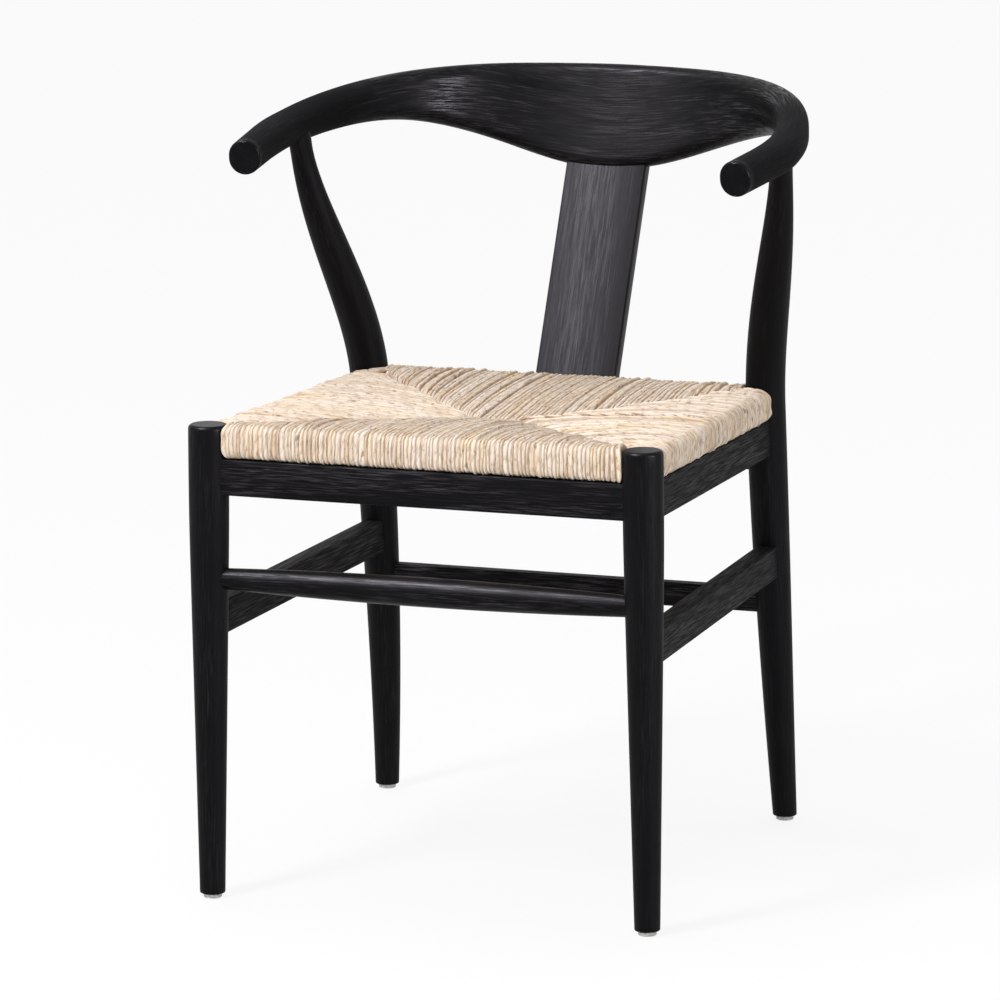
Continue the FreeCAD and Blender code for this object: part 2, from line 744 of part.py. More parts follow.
arm_sides = {}
dowels = []
dowel_holes = {}
for name, side in SIDES.items():
    joint = bow_middle(CORNER, side)
    forward = bow_tangent(joint) * side
    reach = size("overall_depth") + size("overall_width") / 2
    arm_sides[name] = bar(f"{name}_arm_side", joint, joint + forward * reach, "Sizes.overall_width",
                          "2 * Sizes.bow_back_height")
    dowel_holes[name] = []
    rise = forward.cross(UP).normalize().cross(forward)
    half = forward * (size("bow_dowel_length") / 2)
    gap = forward * size("joint_gap")
    for place, shift in (("low", -1), ("high", 1)):
        middle = joint + rise * (shift * size("bow_dowel_pitch") / 2)
        dowels.append(rod(f"{name}_{place}_dowel", middle - half, middle + half, "Sizes.bow_dowel_dia"))
        dowel_holes[name].append(rod(f"{name}_{place}_dowel_hole", middle - half - gap, middle + half + gap,
                                     wider("Sizes.bow_dowel_dia")))
keep("arm_dowels", group("arm_dowels", dowels))

# Leg tops: a round tenon into the underside of each arm

leg_tenons = {}
for name, side in SIDES.items():
    top = rear_top(side)
    way = rear_direction(side, top.z - size("leg_tenon_length"))
    tenon_top = top + way * (size("bow_arm_height") / 4)
    tenon_foot = tenon_top - way * (size("leg_tenon_length") + size("bow_arm_height") / 2)
    leg_tenons[name] = rod(f"rear_leg_{name}_tenon", tenon_foot, tenon_top, "Sizes.leg_tenon_dia")
    hole_top = tenon_top + way * size("joint_gap")
    hole = rod(f"{name}_arm_hole", tenon_foot, hole_top, wider("Sizes.leg_tenon_dia"))
    arm = common(f"{name}_arm_plain", bow, arm_sides[name])
    keep(f"{name}_arm", cut(f"{name}_arm", arm, [hole] + dowel_holes[name]))

keep("back_rail", cut("back_rail", bow, list(arm_sides.values()) + [splat_socket]
                      + dowel_holes["left"] + dowel_holes["right"]))

# Foot glides and their nails


def glide(name, foot):
    """A moulded disc with a hole for its nail and a recess for the nail's head."""
    recess = "Sizes.nail_sink + Sizes.nail_head_height"
    head = wider("Sizes.nail_head_dia")
    hole = wider("Sizes.nail_dia")
    disc = turned(name, [(f"({head}) / 2", "0"), ("Sizes.glide_dia / 2", "0"),
                         ("Sizes.glide_dia / 2", "Sizes.glide_height"),
                         (f"({hole}) / 2", "Sizes.glide_height"),
                         (f"({hole}) / 2", recess), (f"({head}) / 2", recess)],
                  [(("Sizes.glide_dia / 2", "0"), "Sizes.glide_edge_round")])
    disc.Placement.Base = Vec(foot.x, foot.y, 0)
    return disc


def nail(name, foot):
    head_top = "Sizes.nail_sink + Sizes.nail_head_height"
    point = "Sizes.nail_sink + Sizes.nail_length"
    body = turned(name, [("0", "Sizes.nail_sink"), ("Sizes.nail_head_dia / 2", "Sizes.nail_sink"),
                         ("Sizes.nail_head_dia / 2", head_top), ("Sizes.nail_dia / 2", head_top),
                         ("Sizes.nail_dia / 2", f"{point} - 2 * Sizes.nail_dia"), ("0", point)])
    body.Placement.Base = Vec(foot.x, foot.y, 0)
    return body


feet = {f"front_{name}": front_axis(side, size("glide_height")) for name, side in SIDES.items()}
feet.update({f"rear_{name}": rear_axis(side, size("glide_height")) for name, side in SIDES.items()})
nails = []
nail_holes = {}
for corner_name, foot in feet.items():
    keep(f"{corner_name}_glide", glide(f"{corner_name}_glide", foot))
    nails.append(nail(f"{corner_name}_nail", foot))
    hole_top = size("nail_sink") + size("nail_length") + size("joint_gap")
    nail_holes[corner_name] = rod(f"{corner_name}_nail_hole", Vec(foot.x, foot.y, 0),
                                  Vec(foot.x, foot.y, hole_top), wider("Sizes.nail_dia"))
keep("glide_nails", group("glide_nails", nails))

# Finished legs

for name, side in SIDES.items():
    foot = front_axis(side, size("glide_height"))
    below = rod(f"front_leg_{name}_below_foot", foot - UP * 2 * size("glide_height"), foot,
                "2 * Sizes.front_leg_dia")
    level = cut(f"front_leg_{name}_level", front_legs[name], [below])
    keep(f"front_leg_{name}", cut(f"front_leg_{name}", level,
                                  front_sockets[name] + [nail_holes[f"front_{name}"]]))
    socketed = cut(f"rear_leg_{name}_socketed", rear_legs[name],
                   rear_sockets[name] + [nail_holes[f"rear_{name}"], bow])
    keep(f"rear_leg_{name}", fuse(f"rear_leg_{name}", [socketed, leg_tenons[name]]))

# Woven seat


def roll(name, ends, rail):
    """The cord wound round one seat rail, as one round-edged bar."""
    thick, height = section_of(rail)
    return bar(name, *ends, f"{thick} + 2 * Sizes.weave_thick", f"{height} + 2 * Sizes.weave_thick",
               "Sizes.weave_edge_round")


def seat_panels(name):
    """The four panels: flat triangles and trapeziums from the rolls' crests down to the middle seam.

    The underside is like the top, but it comes up to the seam's lower line.
    """
    rows = [(front_seat_rail_ends, "front_seat_rail"),
            (side_seat_rail_ends["right"], "side_seat_rail"),
            (rear_seat_rail_ends[::-1], "rear_seat_rail"),
            (side_seat_rail_ends["left"][::-1], "side_seat_rail")]
    clear = size("front_leg_dia") / 2
    high, low = [], []
    for (start, end), rail in rows:
        step = (end - start).normalize() * clear
        half = size(f"{rail}_height") / 2 + size("weave_thick") - size("panel_sink")
        for point in (start + step, end - step):
            high.append(point + UP * half)
            low.append(point - UP * half)
    middle = (front_seat_rail_ends[0] + rear_seat_rail_ends[0]) / 2
    crest = (high[0].z + high[4].z) / 2
    seam = size("seat_seam_length") / 2
    top_z = crest - size("seat_dip")
    bottom_z = top_z - size("seat_middle_thick")
    faces = []
    for ring, z in ((high, top_z), (low, bottom_z)):
        left, right = Vec(-seam, middle.y, z), Vec(seam, middle.y, z)
        outlines = [(ring[0], ring[1], right, left), (ring[1], ring[2], right), (ring[2], ring[3], right),
                    (ring[3], ring[4], right), (ring[4], ring[5], left, right), (ring[5], ring[6], left),
                    (ring[6], ring[7], left), (ring[7], ring[0], left)]
        faces += [Part.Face(Part.makePolygon(list(outline) + [outline[0]])) for outline in outlines]
    for index in range(8):
        following = (index + 1) % 8
        outline = (low[index], low[following], high[following], high[index], low[index])
        faces.append(Part.Face(Part.makePolygon(outline)))
    panels = doc.addObject("Part::Feature", name)
    panels.Shape = Part.Solid(Part.Shell(faces))
    return panels


def weave_channel(name, ends, rail):
    """The space inside the weave that one seat rail takes up."""
    thick, height = section_of(rail)
    gap = "2 * Sizes.weave_gap"
    return bar(name, *ends, f"{thick} + {gap}", f"{height} + {gap}", "Sizes.seat_rail_edge_round")


def leg_clearance(name, low, high, diameter):
    return rod(name, low, high, f"{diameter} + 2 * Sizes.weave_leg_gap")


seat_rows = [("front", front_seat_rail_ends, "front_seat_rail"),
             ("rear", rear_seat_rail_ends, "rear_seat_rail"),
             ("left", side_seat_rail_ends["left"], "side_seat_rail"),
             ("right", side_seat_rail_ends["right"], "side_seat_rail")]
rolls = [roll(f"{place}_roll", ends, rail) for place, ends, rail in seat_rows]
channels = [weave_channel(f"{place}_channel", ends, rail) for place, ends, rail in seat_rows]
margin = size("rear_seat_rail_height") + 2 * size("weave_thick")
for name, side in SIDES.items():
    low, high = size("front_seat_rail_z") - margin, size("front_seat_rail_z") + margin
    channels.append(leg_clearance(f"front_{name}_notch", front_axis(side, low), front_axis(side, high),
                                  "Sizes.front_leg_dia"))
    low, high = size("rear_seat_rail_z") - margin, size("rear_seat_rail_z") + margin
    channels.append(leg_clearance(f"rear_{name}_notch", rear_axis(side, low), rear_axis(side, high),
                                  "Sizes.rear_knee_dia"))
seat_stock = fuse("woven_seat_stock", rolls + [seat_panels("seat_panels")])
keep("woven_seat", cut("woven_seat", seat_stock, channels))

# Checks and export

doc.recompute()
for item in doc.Objects:
    if "Invalid" in item.State or "Error" in item.State:
        raise RuntimeError(f"{item.Name} did not build: {item.State}")
for node, piece in pieces.items():
    shape = piece.Shape
    if shape.isNull() or not shape.isValid() or not shape.Solids:
        raise RuntimeError(f"{node} has no valid solid")

os.makedirs("parts", exist_ok=True)
for node, piece in pieces.items():
    piece.Shape.exportStep(f"parts/{node}.step")
    box = piece.Shape.optimalBoundingBox(False, False)
    print(f"{node}: {len(piece.Shape.Solids)} solid(s), {piece.Shape.Volume / 1000:.1f} cm3, "
          f"x {box.XMin:.1f} {box.XMax:.1f}, y {box.YMin:.1f} {box.YMax:.1f}, "
          f"z {box.ZMin:.1f} {box.ZMax:.1f}")
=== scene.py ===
"""Looks of a black armchair with a bowed top rail and a woven rush seat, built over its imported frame.

Lengths are in metres. The chair faces -Y, +X is on the right of someone who looks at its front,
and +Z is up. Every pattern follows its own piece: the points of a wooden piece carry "grain", their
place along and across the wood, with "openness" and "polish", and the points of a cord carry "strand",
their place across, along and around it, with "tone" and "tight".
"""
import math

import bpy
import numpy as np
from mathutils import Matrix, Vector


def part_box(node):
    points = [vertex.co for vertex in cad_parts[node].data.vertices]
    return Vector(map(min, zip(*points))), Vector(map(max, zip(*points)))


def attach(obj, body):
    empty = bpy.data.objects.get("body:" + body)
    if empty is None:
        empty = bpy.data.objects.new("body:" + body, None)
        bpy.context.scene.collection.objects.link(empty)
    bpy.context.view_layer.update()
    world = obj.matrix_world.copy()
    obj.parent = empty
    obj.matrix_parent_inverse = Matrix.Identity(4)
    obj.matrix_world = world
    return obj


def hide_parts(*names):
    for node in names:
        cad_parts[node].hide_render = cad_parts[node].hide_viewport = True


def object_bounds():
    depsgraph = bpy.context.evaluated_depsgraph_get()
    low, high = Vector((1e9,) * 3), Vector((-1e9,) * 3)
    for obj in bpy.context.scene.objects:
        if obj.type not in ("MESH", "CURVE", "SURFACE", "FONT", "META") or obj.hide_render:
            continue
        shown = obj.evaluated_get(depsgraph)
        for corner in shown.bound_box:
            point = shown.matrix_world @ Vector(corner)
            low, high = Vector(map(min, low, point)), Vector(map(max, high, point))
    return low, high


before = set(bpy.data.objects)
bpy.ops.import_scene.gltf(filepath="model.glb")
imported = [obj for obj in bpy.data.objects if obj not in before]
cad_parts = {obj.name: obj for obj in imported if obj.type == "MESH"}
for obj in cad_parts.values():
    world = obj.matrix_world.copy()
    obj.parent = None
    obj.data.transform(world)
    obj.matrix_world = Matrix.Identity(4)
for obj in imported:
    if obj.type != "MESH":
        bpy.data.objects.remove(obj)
CAD_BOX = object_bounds()

MM = 0.001
UP = np.array([0.0, 0.0, 1.0])
BACK = np.array([0.0, 1.0, 0.0])
RIGHT = np.array([1.0, 0.0, 0.0])
SIDES = {"left": -1, "right": 1}
SEED = 11
random = np.random.default_rng(SEED)

bpy.context.scene.view_settings.view_transform = "Standard"

# Camera, at the photograph's viewing angle

PICTURE_PIXELS = 1000
FOCAL_PIXELS = 6111.93
SENSOR_WIDTH = 36.0
CAMERA_PLACE = (1.95121, -5.51109, 1.51903)
CAMERA_AZIMUTH = 19.7246
CAMERA_PITCH = 11.3399
CAMERA_ROLL = -0.40013
VIEW_DEPTH = 100.0


def new_object(name, data):
    """An object in the scene, on a mesh, a lamp or a camera."""
    thing = bpy.data.objects.new(name, data)
    bpy.context.scene.collection.objects.link(thing)
    return thing


def stand(thing, right, top, back, place):
    """Puts a camera or a lamp at a place, with its own three axes along the directions given."""
    turn = np.eye(4)
    turn[:3] = np.column_stack([right, top, back, place])
    thing.matrix_world = Matrix(turn.tolist())


def add_camera():
    """Looks along an azimuth and down by a pitch, then rolls about its own line of sight."""
    azimuth, pitch, roll = np.radians((CAMERA_AZIMUTH, CAMERA_PITCH, CAMERA_ROLL))
    flat = np.array([-math.sin(azimuth), math.cos(azimuth), 0.0])
    forward = flat * math.cos(pitch) - UP * math.sin(pitch)
    level = np.array([math.cos(azimuth), math.sin(azimuth), 0.0])
    above = np.cross(level, forward)
    right = level * math.cos(roll) + above * math.sin(roll)
    top = above * math.cos(roll) - level * math.sin(roll)
    data = bpy.data.cameras.new("camera")
    data.sensor_width = SENSOR_WIDTH
    data.lens = SENSOR_WIDTH * FOCAL_PIXELS / PICTURE_PIXELS
    data.clip_end = VIEW_DEPTH
    camera = new_object("camera", data)
    stand(camera, right, top, -forward, CAMERA_PLACE)
    bpy.context.scene.camera = camera


add_camera()

# Finishes


def new_finish(name):
    """An empty material and its tree."""
    finish = bpy.data.materials.new(name)
    finish.use_nodes = True
    finish.node_tree.nodes.clear()
    return finish, finish.node_tree


def add(tree, kind, sockets=None, **settings):
    """A shader node; a socket's value is a number, a colour, or another node's output to link."""
    node = tree.nodes.new("ShaderNode" + kind)
    for key, setting in settings.items():
        setattr(node, key, setting)
    for key, given in (sockets or {}).items():
        if isinstance(given, bpy.types.NodeSocket):
            tree.links.new(given, node.inputs[key])
        else:
            node.inputs[key].default_value = given
    return node


def ramp(tree, factor, *stops):
    """A colour ramp; each stop is a place, and a colour or a grey level."""
    node = add(tree, "ValToRGB", {"Fac": factor})
    elements = node.color_ramp.elements
    while len(elements) < len(stops):
        elements.new(0.5)
    for element, (place, colour) in zip(elements, stops):
        element.position = place
        element.color = (*(np.ones(3) * colour), 1.0)
    return node.outputs["Color"]


def math_node(tree, operation, *terms):
    """One operation on numbers or sockets, in the order of the node's own inputs."""
    node = add(tree, "Math", dict(enumerate(terms)), operation=operation)
    return node.outputs["Value"]


def weighted(tree, *terms):
    """The sum of sockets, each times its own weight."""
    total = 0.0
    for socket, weight in terms:
        total = math_node(tree, "MULTIPLY_ADD", socket, weight, total)
    return total


def stretched_noise(tree, vector, scales, detail=3.0, roughness=0.55):
    """Noise with its own scale along each axis, per metre."""
    place = add(tree, "Mapping", {"Vector": vector, "Scale": scales})
    noise = add(tree, "TexNoise", {"Vector": place.outputs["Vector"], "Scale": 1.0, "Detail": detail,
                                   "Roughness": roughness})
    return noise.outputs["Fac"]


def mixed(tree, factor, first, second, blend="MIX"):
    """Two colours, the second laid over the first by a factor."""
    node = add(tree, "Mix", {"Factor": factor, 6: first, 7: second}, data_type="RGBA", blend_type=blend)
    return node.outputs[2]


def attribute(tree, name, output="Fac"):
    """A point attribute that the pieces carry."""
    return add(tree, "Attribute", attribute_name=name).outputs[output]


def finish_of(make):
    """A finish with one shader; a function of its tree gives the shader's sockets."""
    finish, tree = new_finish(f"{make.__name__}_finish")
    shader = add(tree, "BsdfPrincipled", make(tree))
    add(tree, "OutputMaterial", {"Surface": shader.outputs[0]})
    return finish


PORE_BLACK = (0.0023, 0.0020, 0.0021, 1.0)
# The ridges' grey: partly the grain's own colour, partly a painted sheen of light on them, tinted like the
# lacquer's reflections
RIDGE_GREY_AND_PAINTED_SHEEN = (0.086, 0.082, 0.091, 1.0)
SHEEN = 0.07
SHEEN_TINT = (0.93, 0.89, 1.0, 1.0)


def black_wood(tree):
    """Black stained wood under a thin satin lacquer, with streaks along the grain.

    Its ridges are paler and glossy and its pores are black and dry, and the ridges' grey is partly the
    grain and partly a painted sheen. The attribute "openness" says how far they show, from 0 on finely
    turned wood to 1 on a sawn face, and "polish" how glossy the whole is.
    """
    grain = attribute(tree, "grain", "Vector")
    openness = attribute(tree, "openness")
    polish = attribute(tree, "polish")
    streaks = stretched_noise(tree, grain, (30.0, 800.0, 800.0), detail=4.0, roughness=0.65)
    figure = stretched_noise(tree, grain, (7.0, 70.0, 70.0), detail=3.0, roughness=0.6)
    pores = stretched_noise(tree, grain, (60.0, 1300.0, 1300.0), detail=2.0, roughness=0.5)
    ridges = ramp(tree, streaks, (0.48, 0), (0.72, 1))
    bands = ramp(tree, figure, (0.38, 0.06), (0.64, 1))
    # Where the ridges show paler: partly grain, partly a painted sheen
    grain_and_painted_sheen = math_node(tree, "MULTIPLY", math_node(tree, "MULTIPLY", ridges, bands), openness)
    colour = mixed(tree, grain_and_painted_sheen, PORE_BLACK, RIDGE_GREY_AND_PAINTED_SHEEN)
    dry = ramp(tree, streaks, (0.40, 0.45), (0.56, 0))
    lacquer = ramp(tree, polish, (0.0, 0.85), (1.0, 0.28))
    rough = math_node(tree, "MULTIPLY_ADD", dry, openness, lacquer)
    relief = weighted(tree, (streaks, 1.0), (pores, 0.8))
    deep = math_node(tree, "MULTIPLY", openness, 0.45)
    bump = add(tree, "Bump", {"Height": relief, "Strength": deep, "Distance": 0.2 * MM})
    return {"Base Color": colour, "Roughness": rough, "Normal": bump.outputs[0],
            "Specular IOR Level": SHEEN, "Specular Tint": SHEEN_TINT}


def bare_wood(tree):
    """Pale unfinished wood, for what lies hidden in the seat and the joints."""
    place = add(tree, "TexCoord").outputs["Object"]
    rings = stretched_noise(tree, place, (30.0, 30.0, 260.0))
    colour = ramp(tree, rings, (0.3, (0.42, 0.26, 0.13)), (0.7, (0.66, 0.47, 0.28)))
    bump = add(tree, "Bump", {"Height": rings, "Strength": 0.2, "Distance": 0.2 * MM})
    return {"Base Color": colour, "Roughness": 0.7, "Normal": bump.outputs[0]}


TWIST_LENGTH = 19 * MM
TWIST_SLANT = 2.1
TWIST_OFFSET = 47.0
TWIST_DRIFT = 15.0
GOLDEN_TINT = (1.0, 0.91, 0.71, 1.0)


def rush_cord(tree):
    """Twisted dry rush: a tone for each cord, fibres along it, slanting twist lines, flecks and knots.

    The twist is 0.5 + 0.5 sin(turn), and the turn grows along and around a cord and starts elsewhere on
    each one. The attribute "tight" is 1 on a hard-twisted cord, whose twist lines are browner. Each cord
    darkens towards its edges with painted shade, the shade that falls in the gaps between cords, and
    "tone" also carries each panel's painted shading on top.
    """
    strand = attribute(tree, "strand", "Vector")
    tone = attribute(tree, "tone")
    tight = attribute(tree, "tight")
    parts = add(tree, "SeparateXYZ", {"Vector": strand}).outputs
    along, around = parts["Y"], parts["Z"]
    fibres = stretched_noise(tree, strand, (1000.0, 42.0, 0.9), detail=4.0, roughness=0.65)
    patches = stretched_noise(tree, strand, (150.0, 40.0, 0.0), detail=3.0, roughness=0.6)
    flecks = stretched_noise(tree, strand, (380.0, 110.0, 0.5), detail=2.0, roughness=0.6)
    knots = stretched_noise(tree, strand, (120.0, 90.0, 0.0), detail=2.0, roughness=0.5)
    golden = stretched_noise(tree, strand, (210.0, 9.0, 0.0), detail=2.0, roughness=0.5)
    turn = weighted(tree, (along, 2 * math.pi / TWIST_LENGTH), (around, TWIST_SLANT),
                    (tone, TWIST_OFFSET), (patches, TWIST_DRIFT))
    twist = math_node(tree, "MULTIPLY_ADD", math_node(tree, "SINE", turn), 0.5, 0.5)
    shade = weighted(tree, (tone, 0.5), (fibres, 0.6), (patches, 0.5))
    shade = math_node(tree, "SUBTRACT", shade, 0.3)
    colour = ramp(tree, shade, (0.12, (0.40, 0.27, 0.16)), (0.34, (0.65, 0.52, 0.405)),
                  (0.58, (0.80, 0.695, 0.60)), (0.85, (0.88, 0.81, 0.75)))
    lines = ramp(tree, twist, (0.0, (0.66, 0.58, 0.50)), (0.32, 1))
    sunned = ramp(tree, golden, (0.50, 0), (0.66, 0.75))
    hard_lines = ramp(tree, twist, (0.08, (0.48, 0.33, 0.20)), (0.42, 1))
    hard_share = math_node(tree, "MULTIPLY", tight, ramp(tree, patches, (0.36, 0.15), (0.56, 1)))
    brown = ramp(tree, flecks, (0.60, 1), (0.70, (0.50, 0.37, 0.27)))
    dark_knots = ramp(tree, knots, (0.66, 1), (0.73, (0.42, 0.29, 0.20)))
    # Painted shade in the gaps between cords: darker towards each cord's edges
    edge = math_node(tree, "ABSOLUTE", around)
    gaps = ramp(tree, edge, (0.50, 1), (0.80, (0.77, 0.68, 0.58)), (0.98, (0.42, 0.32, 0.22)))
    layers = ((0.62, lines), (sunned, GOLDEN_TINT), (hard_share, hard_lines), (0.85, brown),
              (0.8, dark_knots), (1.0, gaps))
    for share, layer in layers:
        colour = mixed(tree, share, colour, layer, "MULTIPLY")
    relief = weighted(tree, (twist, 0.8), (fibres, 1.0))
    bump = add(tree, "Bump", {"Height": relief, "Strength": 0.6, "Distance": 0.6 * MM})
    return {"Base Color": colour, "Roughness": 0.62, "Normal": bump.outputs[0], "Specular IOR Level": 0.35}


def glide_plastic(tree):
    """Pale moulded plastic, a little dusty and scuffed."""
    place = add(tree, "TexCoord").outputs["Object"]
    scuffs = stretched_noise(tree, place, (500.0, 500.0, 500.0), detail=4.0, roughness=0.6)
    colour = ramp(tree, scuffs, (0.3, (0.48, 0.47, 0.45)), (0.65, (0.66, 0.65, 0.63)))
    rough = ramp(tree, scuffs, (0.3, 0.35), (0.7, 0.55))
    return {"Base Color": colour, "Roughness": rough}


STEEL_GREY = (0.55, 0.55, 0.56, 1.0)


def nail_steel(tree):
    """Drawn steel, unevenly bright."""
    place = add(tree, "TexCoord").outputs["Object"]
    rough = ramp(tree, stretched_noise(tree, place, (900.0, 900.0, 900.0)), (0.3, 0.3), (0.7, 0.5))
    return {"Base Color": STEEL_GREY, "Metallic": 1.0, "Roughness": rough}


MAKERS = (black_wood, bare_wood, rush_cord, glide_plastic, nail_steel)
FINISHES = {make.__name__: finish_of(make) for make in MAKERS}

# Surfaces


def unit(vectors):
    """Vectors brought to length 1."""
    return vectors / np.linalg.norm(vectors, axis=-1, keepdims=True)


def sleeve(name, points, attributes):
    """A closed surface on a grid of points, ring by place, with numbers for its point attributes.

    Each ring closes on itself, and the first and last rings are capped. Quads join place j and j + 1 of
    ring i to those of ring i + 1.
    """
    rings, places = points.shape[:2]
    index = np.arange(rings * places).reshape(rings, places)
    following = np.roll(index, -1, axis=1)
    quads = np.stack([index[:-1], following[:-1], following[1:], index[1:]], axis=-1).reshape(-1, 4)
    faces = quads.tolist() + [index[0, ::-1].tolist(), index[-1].tolist()]
    mesh = bpy.data.meshes.new(name)
    mesh.from_pydata(points.reshape(-1, 3), [], faces)
    smooth = np.ones(len(faces), bool)
    smooth[-2:] = False
    mesh.polygons.foreach_set("use_smooth", smooth)
    for label, numbers in attributes.items():
        kind, field = ("FLOAT_VECTOR", "vector") if numbers.ndim == points.ndim else ("FLOAT", "value")
        layer = mesh.attributes.new(label, kind, "POINT")
        layer.data.foreach_set(field, numbers.astype(np.float32).ravel())
    return new_object(name, mesh)


def dress(piece, slot, node):
    """Gives a piece its finish, fixes it to the chair and hides the node it stands in for."""
    piece.data.materials.append(FINISHES[slot])
    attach(piece, "root")
    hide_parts(node)


def round_outline(count):
    """A circle: each point faces (cos a, sin a) from the middle."""
    angles = np.linspace(0, 2 * math.pi, count, endpoint=False)
    facing = np.column_stack([np.cos(angles), np.sin(angles)])
    return np.zeros_like(facing), facing


def board_outline(corner_steps, flat_steps):
    """A rectangle with four round corners, counterclockwise from its lower right corner.

    A point is place * (half size - radius) + facing * radius. On a corner the place stays and the
    facing turns, and on a flat the facing stays and the place moves on.
    """
    places, facings = [], []
    corners = np.array([(1, -1), (1, 1), (-1, 1), (-1, -1)], float)
    for number, corner in enumerate(corners):
        angles = (number - 1 + np.linspace(0, 1, corner_steps + 1)) * math.pi / 2
        turning = np.column_stack([np.cos(angles), np.sin(angles)])
        places.append(np.repeat(corner[None], corner_steps + 1, axis=0))
        facings.append(turning)
        share = np.linspace(0, 1, flat_steps + 1)[1:-1, None]
        places.append(corner + (corners[(number + 1) % 4] - corner) * share)
        facings.append(np.repeat(turning[-1:], flat_steps - 1, axis=0))
    return np.concatenate(places), np.concatenate(facings)


def carried(centres, directions, ups, outline, half, radius):
    """An outline carried along a path, in the plane of up and side = up x direction.

    Gives the points, middle + side * x + up * y, and the outline's own (x, y) on each ring.
    """
    place, facing = outline
    ups = unit(ups - directions * np.sum(ups * directions, axis=-1, keepdims=True))
    sides = np.cross(ups, directions)
    half = np.broadcast_to(half, (len(centres), 2))
    radius = np.broadcast_to(radius, len(centres))
    flat = place * (half - radius[:, None])[:, None, :] + facing * radius[:, None, None]
    points = centres[:, None] + flat[..., :1] * sides[:, None] + flat[..., 1:] * ups[:, None]
    return points, flat


def grain_of(along, flat, offset):
    """Where each point lies in its wood: along the grain, and across it both ways."""
    along = np.broadcast_to(along[:, None], flat.shape[:2])
    return np.concatenate([along[..., None], flat], axis=-1) + offset


GRAIN_REACH = 10.0


def new_offset():
    """A far place in the grain, so that no two pieces look alike."""
    return random.uniform(0, GRAIN_REACH, 3)


# How open the grain is, which also sets how much painted sheen its ridges carry, and how polished, on each
# kind of piece
LEG_SURFACE = np.array([0.15, 0.61])
ARM_SURFACE = np.array([0.12, 0.0])
END_SURFACE = np.array([0.2, 1.0])
FACE_SURFACE = np.array([0.8, 1.0])
SPLAT_SURFACE = np.array([0.36, 1.0])
TURNED_SURFACE = np.array([0.55, 1.0])
RAIL_SURFACE = np.array([0.85, 0.7])
SIDE_RAIL_SURFACE = np.array([0.55, 0.5])
POLISHED_LENGTH = 12 * MM


def wood(name, node, points, along, flat, surface, offset):
    """A wooden piece on its rings, in place of its node.

    Its surface is an openness and a polish, or a row of the two for each ring.
    """
    surface = np.broadcast_to(surface, (len(points), 2))
    openness = np.broadcast_to(surface[:, :1], flat.shape[:2])
    polish = np.broadcast_to(surface[:, 1:], flat.shape[:2])
    grain = grain_of(along, flat, offset)
    piece = sleeve(name, points, {"grain": grain, "openness": openness, "polish": polish})
    dress(piece, "black_wood", node)


def polished_end(surface, from_end):
    """A surface that grows glossy close to an end that hands have rubbed."""
    share = np.clip(1 - from_end / POLISHED_LENGTH, 0, 1)[:, None]
    return surface + (END_SURFACE - surface) * share


RIM_STEPS = 5
END_RING = 0.15 * MM
TANGENT_STEP = 0.5 * MM


def rim(size):
    """Distances from an end, and how far the section shrinks there.

    On a rounded end they are r (1 - cos a) and r (1 - sin a). A square end has a second ring close by, so
    that the surface shades evenly right up to it.
    """
    if not size:
        return np.array([0.0, END_RING]), np.zeros(2)
    turn = np.linspace(0, math.pi / 2, RIM_STEPS + 1)
    return size * (1 - np.cos(turn)), size * (1 - np.sin(turn))


def rounded_ends(length, spacing, start_round=0.0, end_round=0.0):
    """Distances along a piece from end to end, and how far its section shrinks there."""
    count = max(2, math.ceil((length - start_round - end_round) / spacing) + 1)
    inner = np.linspace(start_round, length - end_round, count)[1:-1]
    start, start_shrink = rim(start_round)
    end, end_shrink = rim(end_round)
    along = np.concatenate([start, inner, length - end[::-1]])
    return along, np.concatenate([start_shrink, np.zeros(len(inner)), end_shrink[::-1]])


def straight(start, end, along, up):
    """Centres, directions and ups of a straight path."""
    direction = unit(end - start)
    centres = start + along[:, None] * direction
    return centres, np.broadcast_to(direction, centres.shape), np.broadcast_to(up, centres.shape)


def ease(share):
    """Goes from 0 to 1 with a level start and end."""
    return share * share * (3 - 2 * share)


def spline(knots, heights, at):
    """A natural cubic spline through its knots, at any parameter.

    Its second derivatives, the bends, are nil at both ends and make the slopes meet at each knot.
    """
    gaps = np.diff(knots)
    slopes = np.diff(heights, axis=0) / gaps[:, None]
    count = len(knots)
    system = np.eye(count)
    inner = np.arange(1, count - 1)
    system[inner, inner - 1] = gaps[:-1]
    system[inner, inner] = 2 * (gaps[:-1] + gaps[1:])
    system[inner, inner + 1] = gaps[1:]
    wanted = np.zeros_like(heights)
    wanted[1:-1] = 6 * np.diff(slopes, axis=0)
    bend = np.linalg.solve(system, wanted)
    span = np.clip(np.searchsorted(knots, at, side="right") - 1, 0, count - 2)
    gap = gaps[span][:, None]
    left = (knots[span + 1] - at)[:, None]
    right = (at - knots[span])[:, None]
    curve = (bend[span] * left ** 3 + bend[span + 1] * right ** 3) / (6 * gap)
    return (curve + (heights[span] / gap - bend[span] * gap / 6) * left
            + (heights[span + 1] / gap - bend[span + 1] * gap / 6) * right)


def corners_of(node):
    """The lowest and the highest corner of a node's box."""
    low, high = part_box(node)
    return np.array(low), np.array(high)


def rail_of(node):
    """The height of a rail's middle, and its own depth and height."""
    low, high = corners_of(node)
    return (low[2] + high[2]) / 2, (high[1] - low[1], high[2] - low[2])


def sloping_ends(node, section):
    """The heights of a side rail's middle at its front end and at its rear end, which is lower."""
    low, high = corners_of(node)
    return high[2] - section[1] / 2, low[2] + section[1] / 2


def foot_of(place):
    """The middle of a glide's upper face, where its leg stands."""
    low, high = corners_of(f"{place}_glide")
    middle = (low + high) / 2
    middle[2] = high[2]
    return middle


# Turned front legs

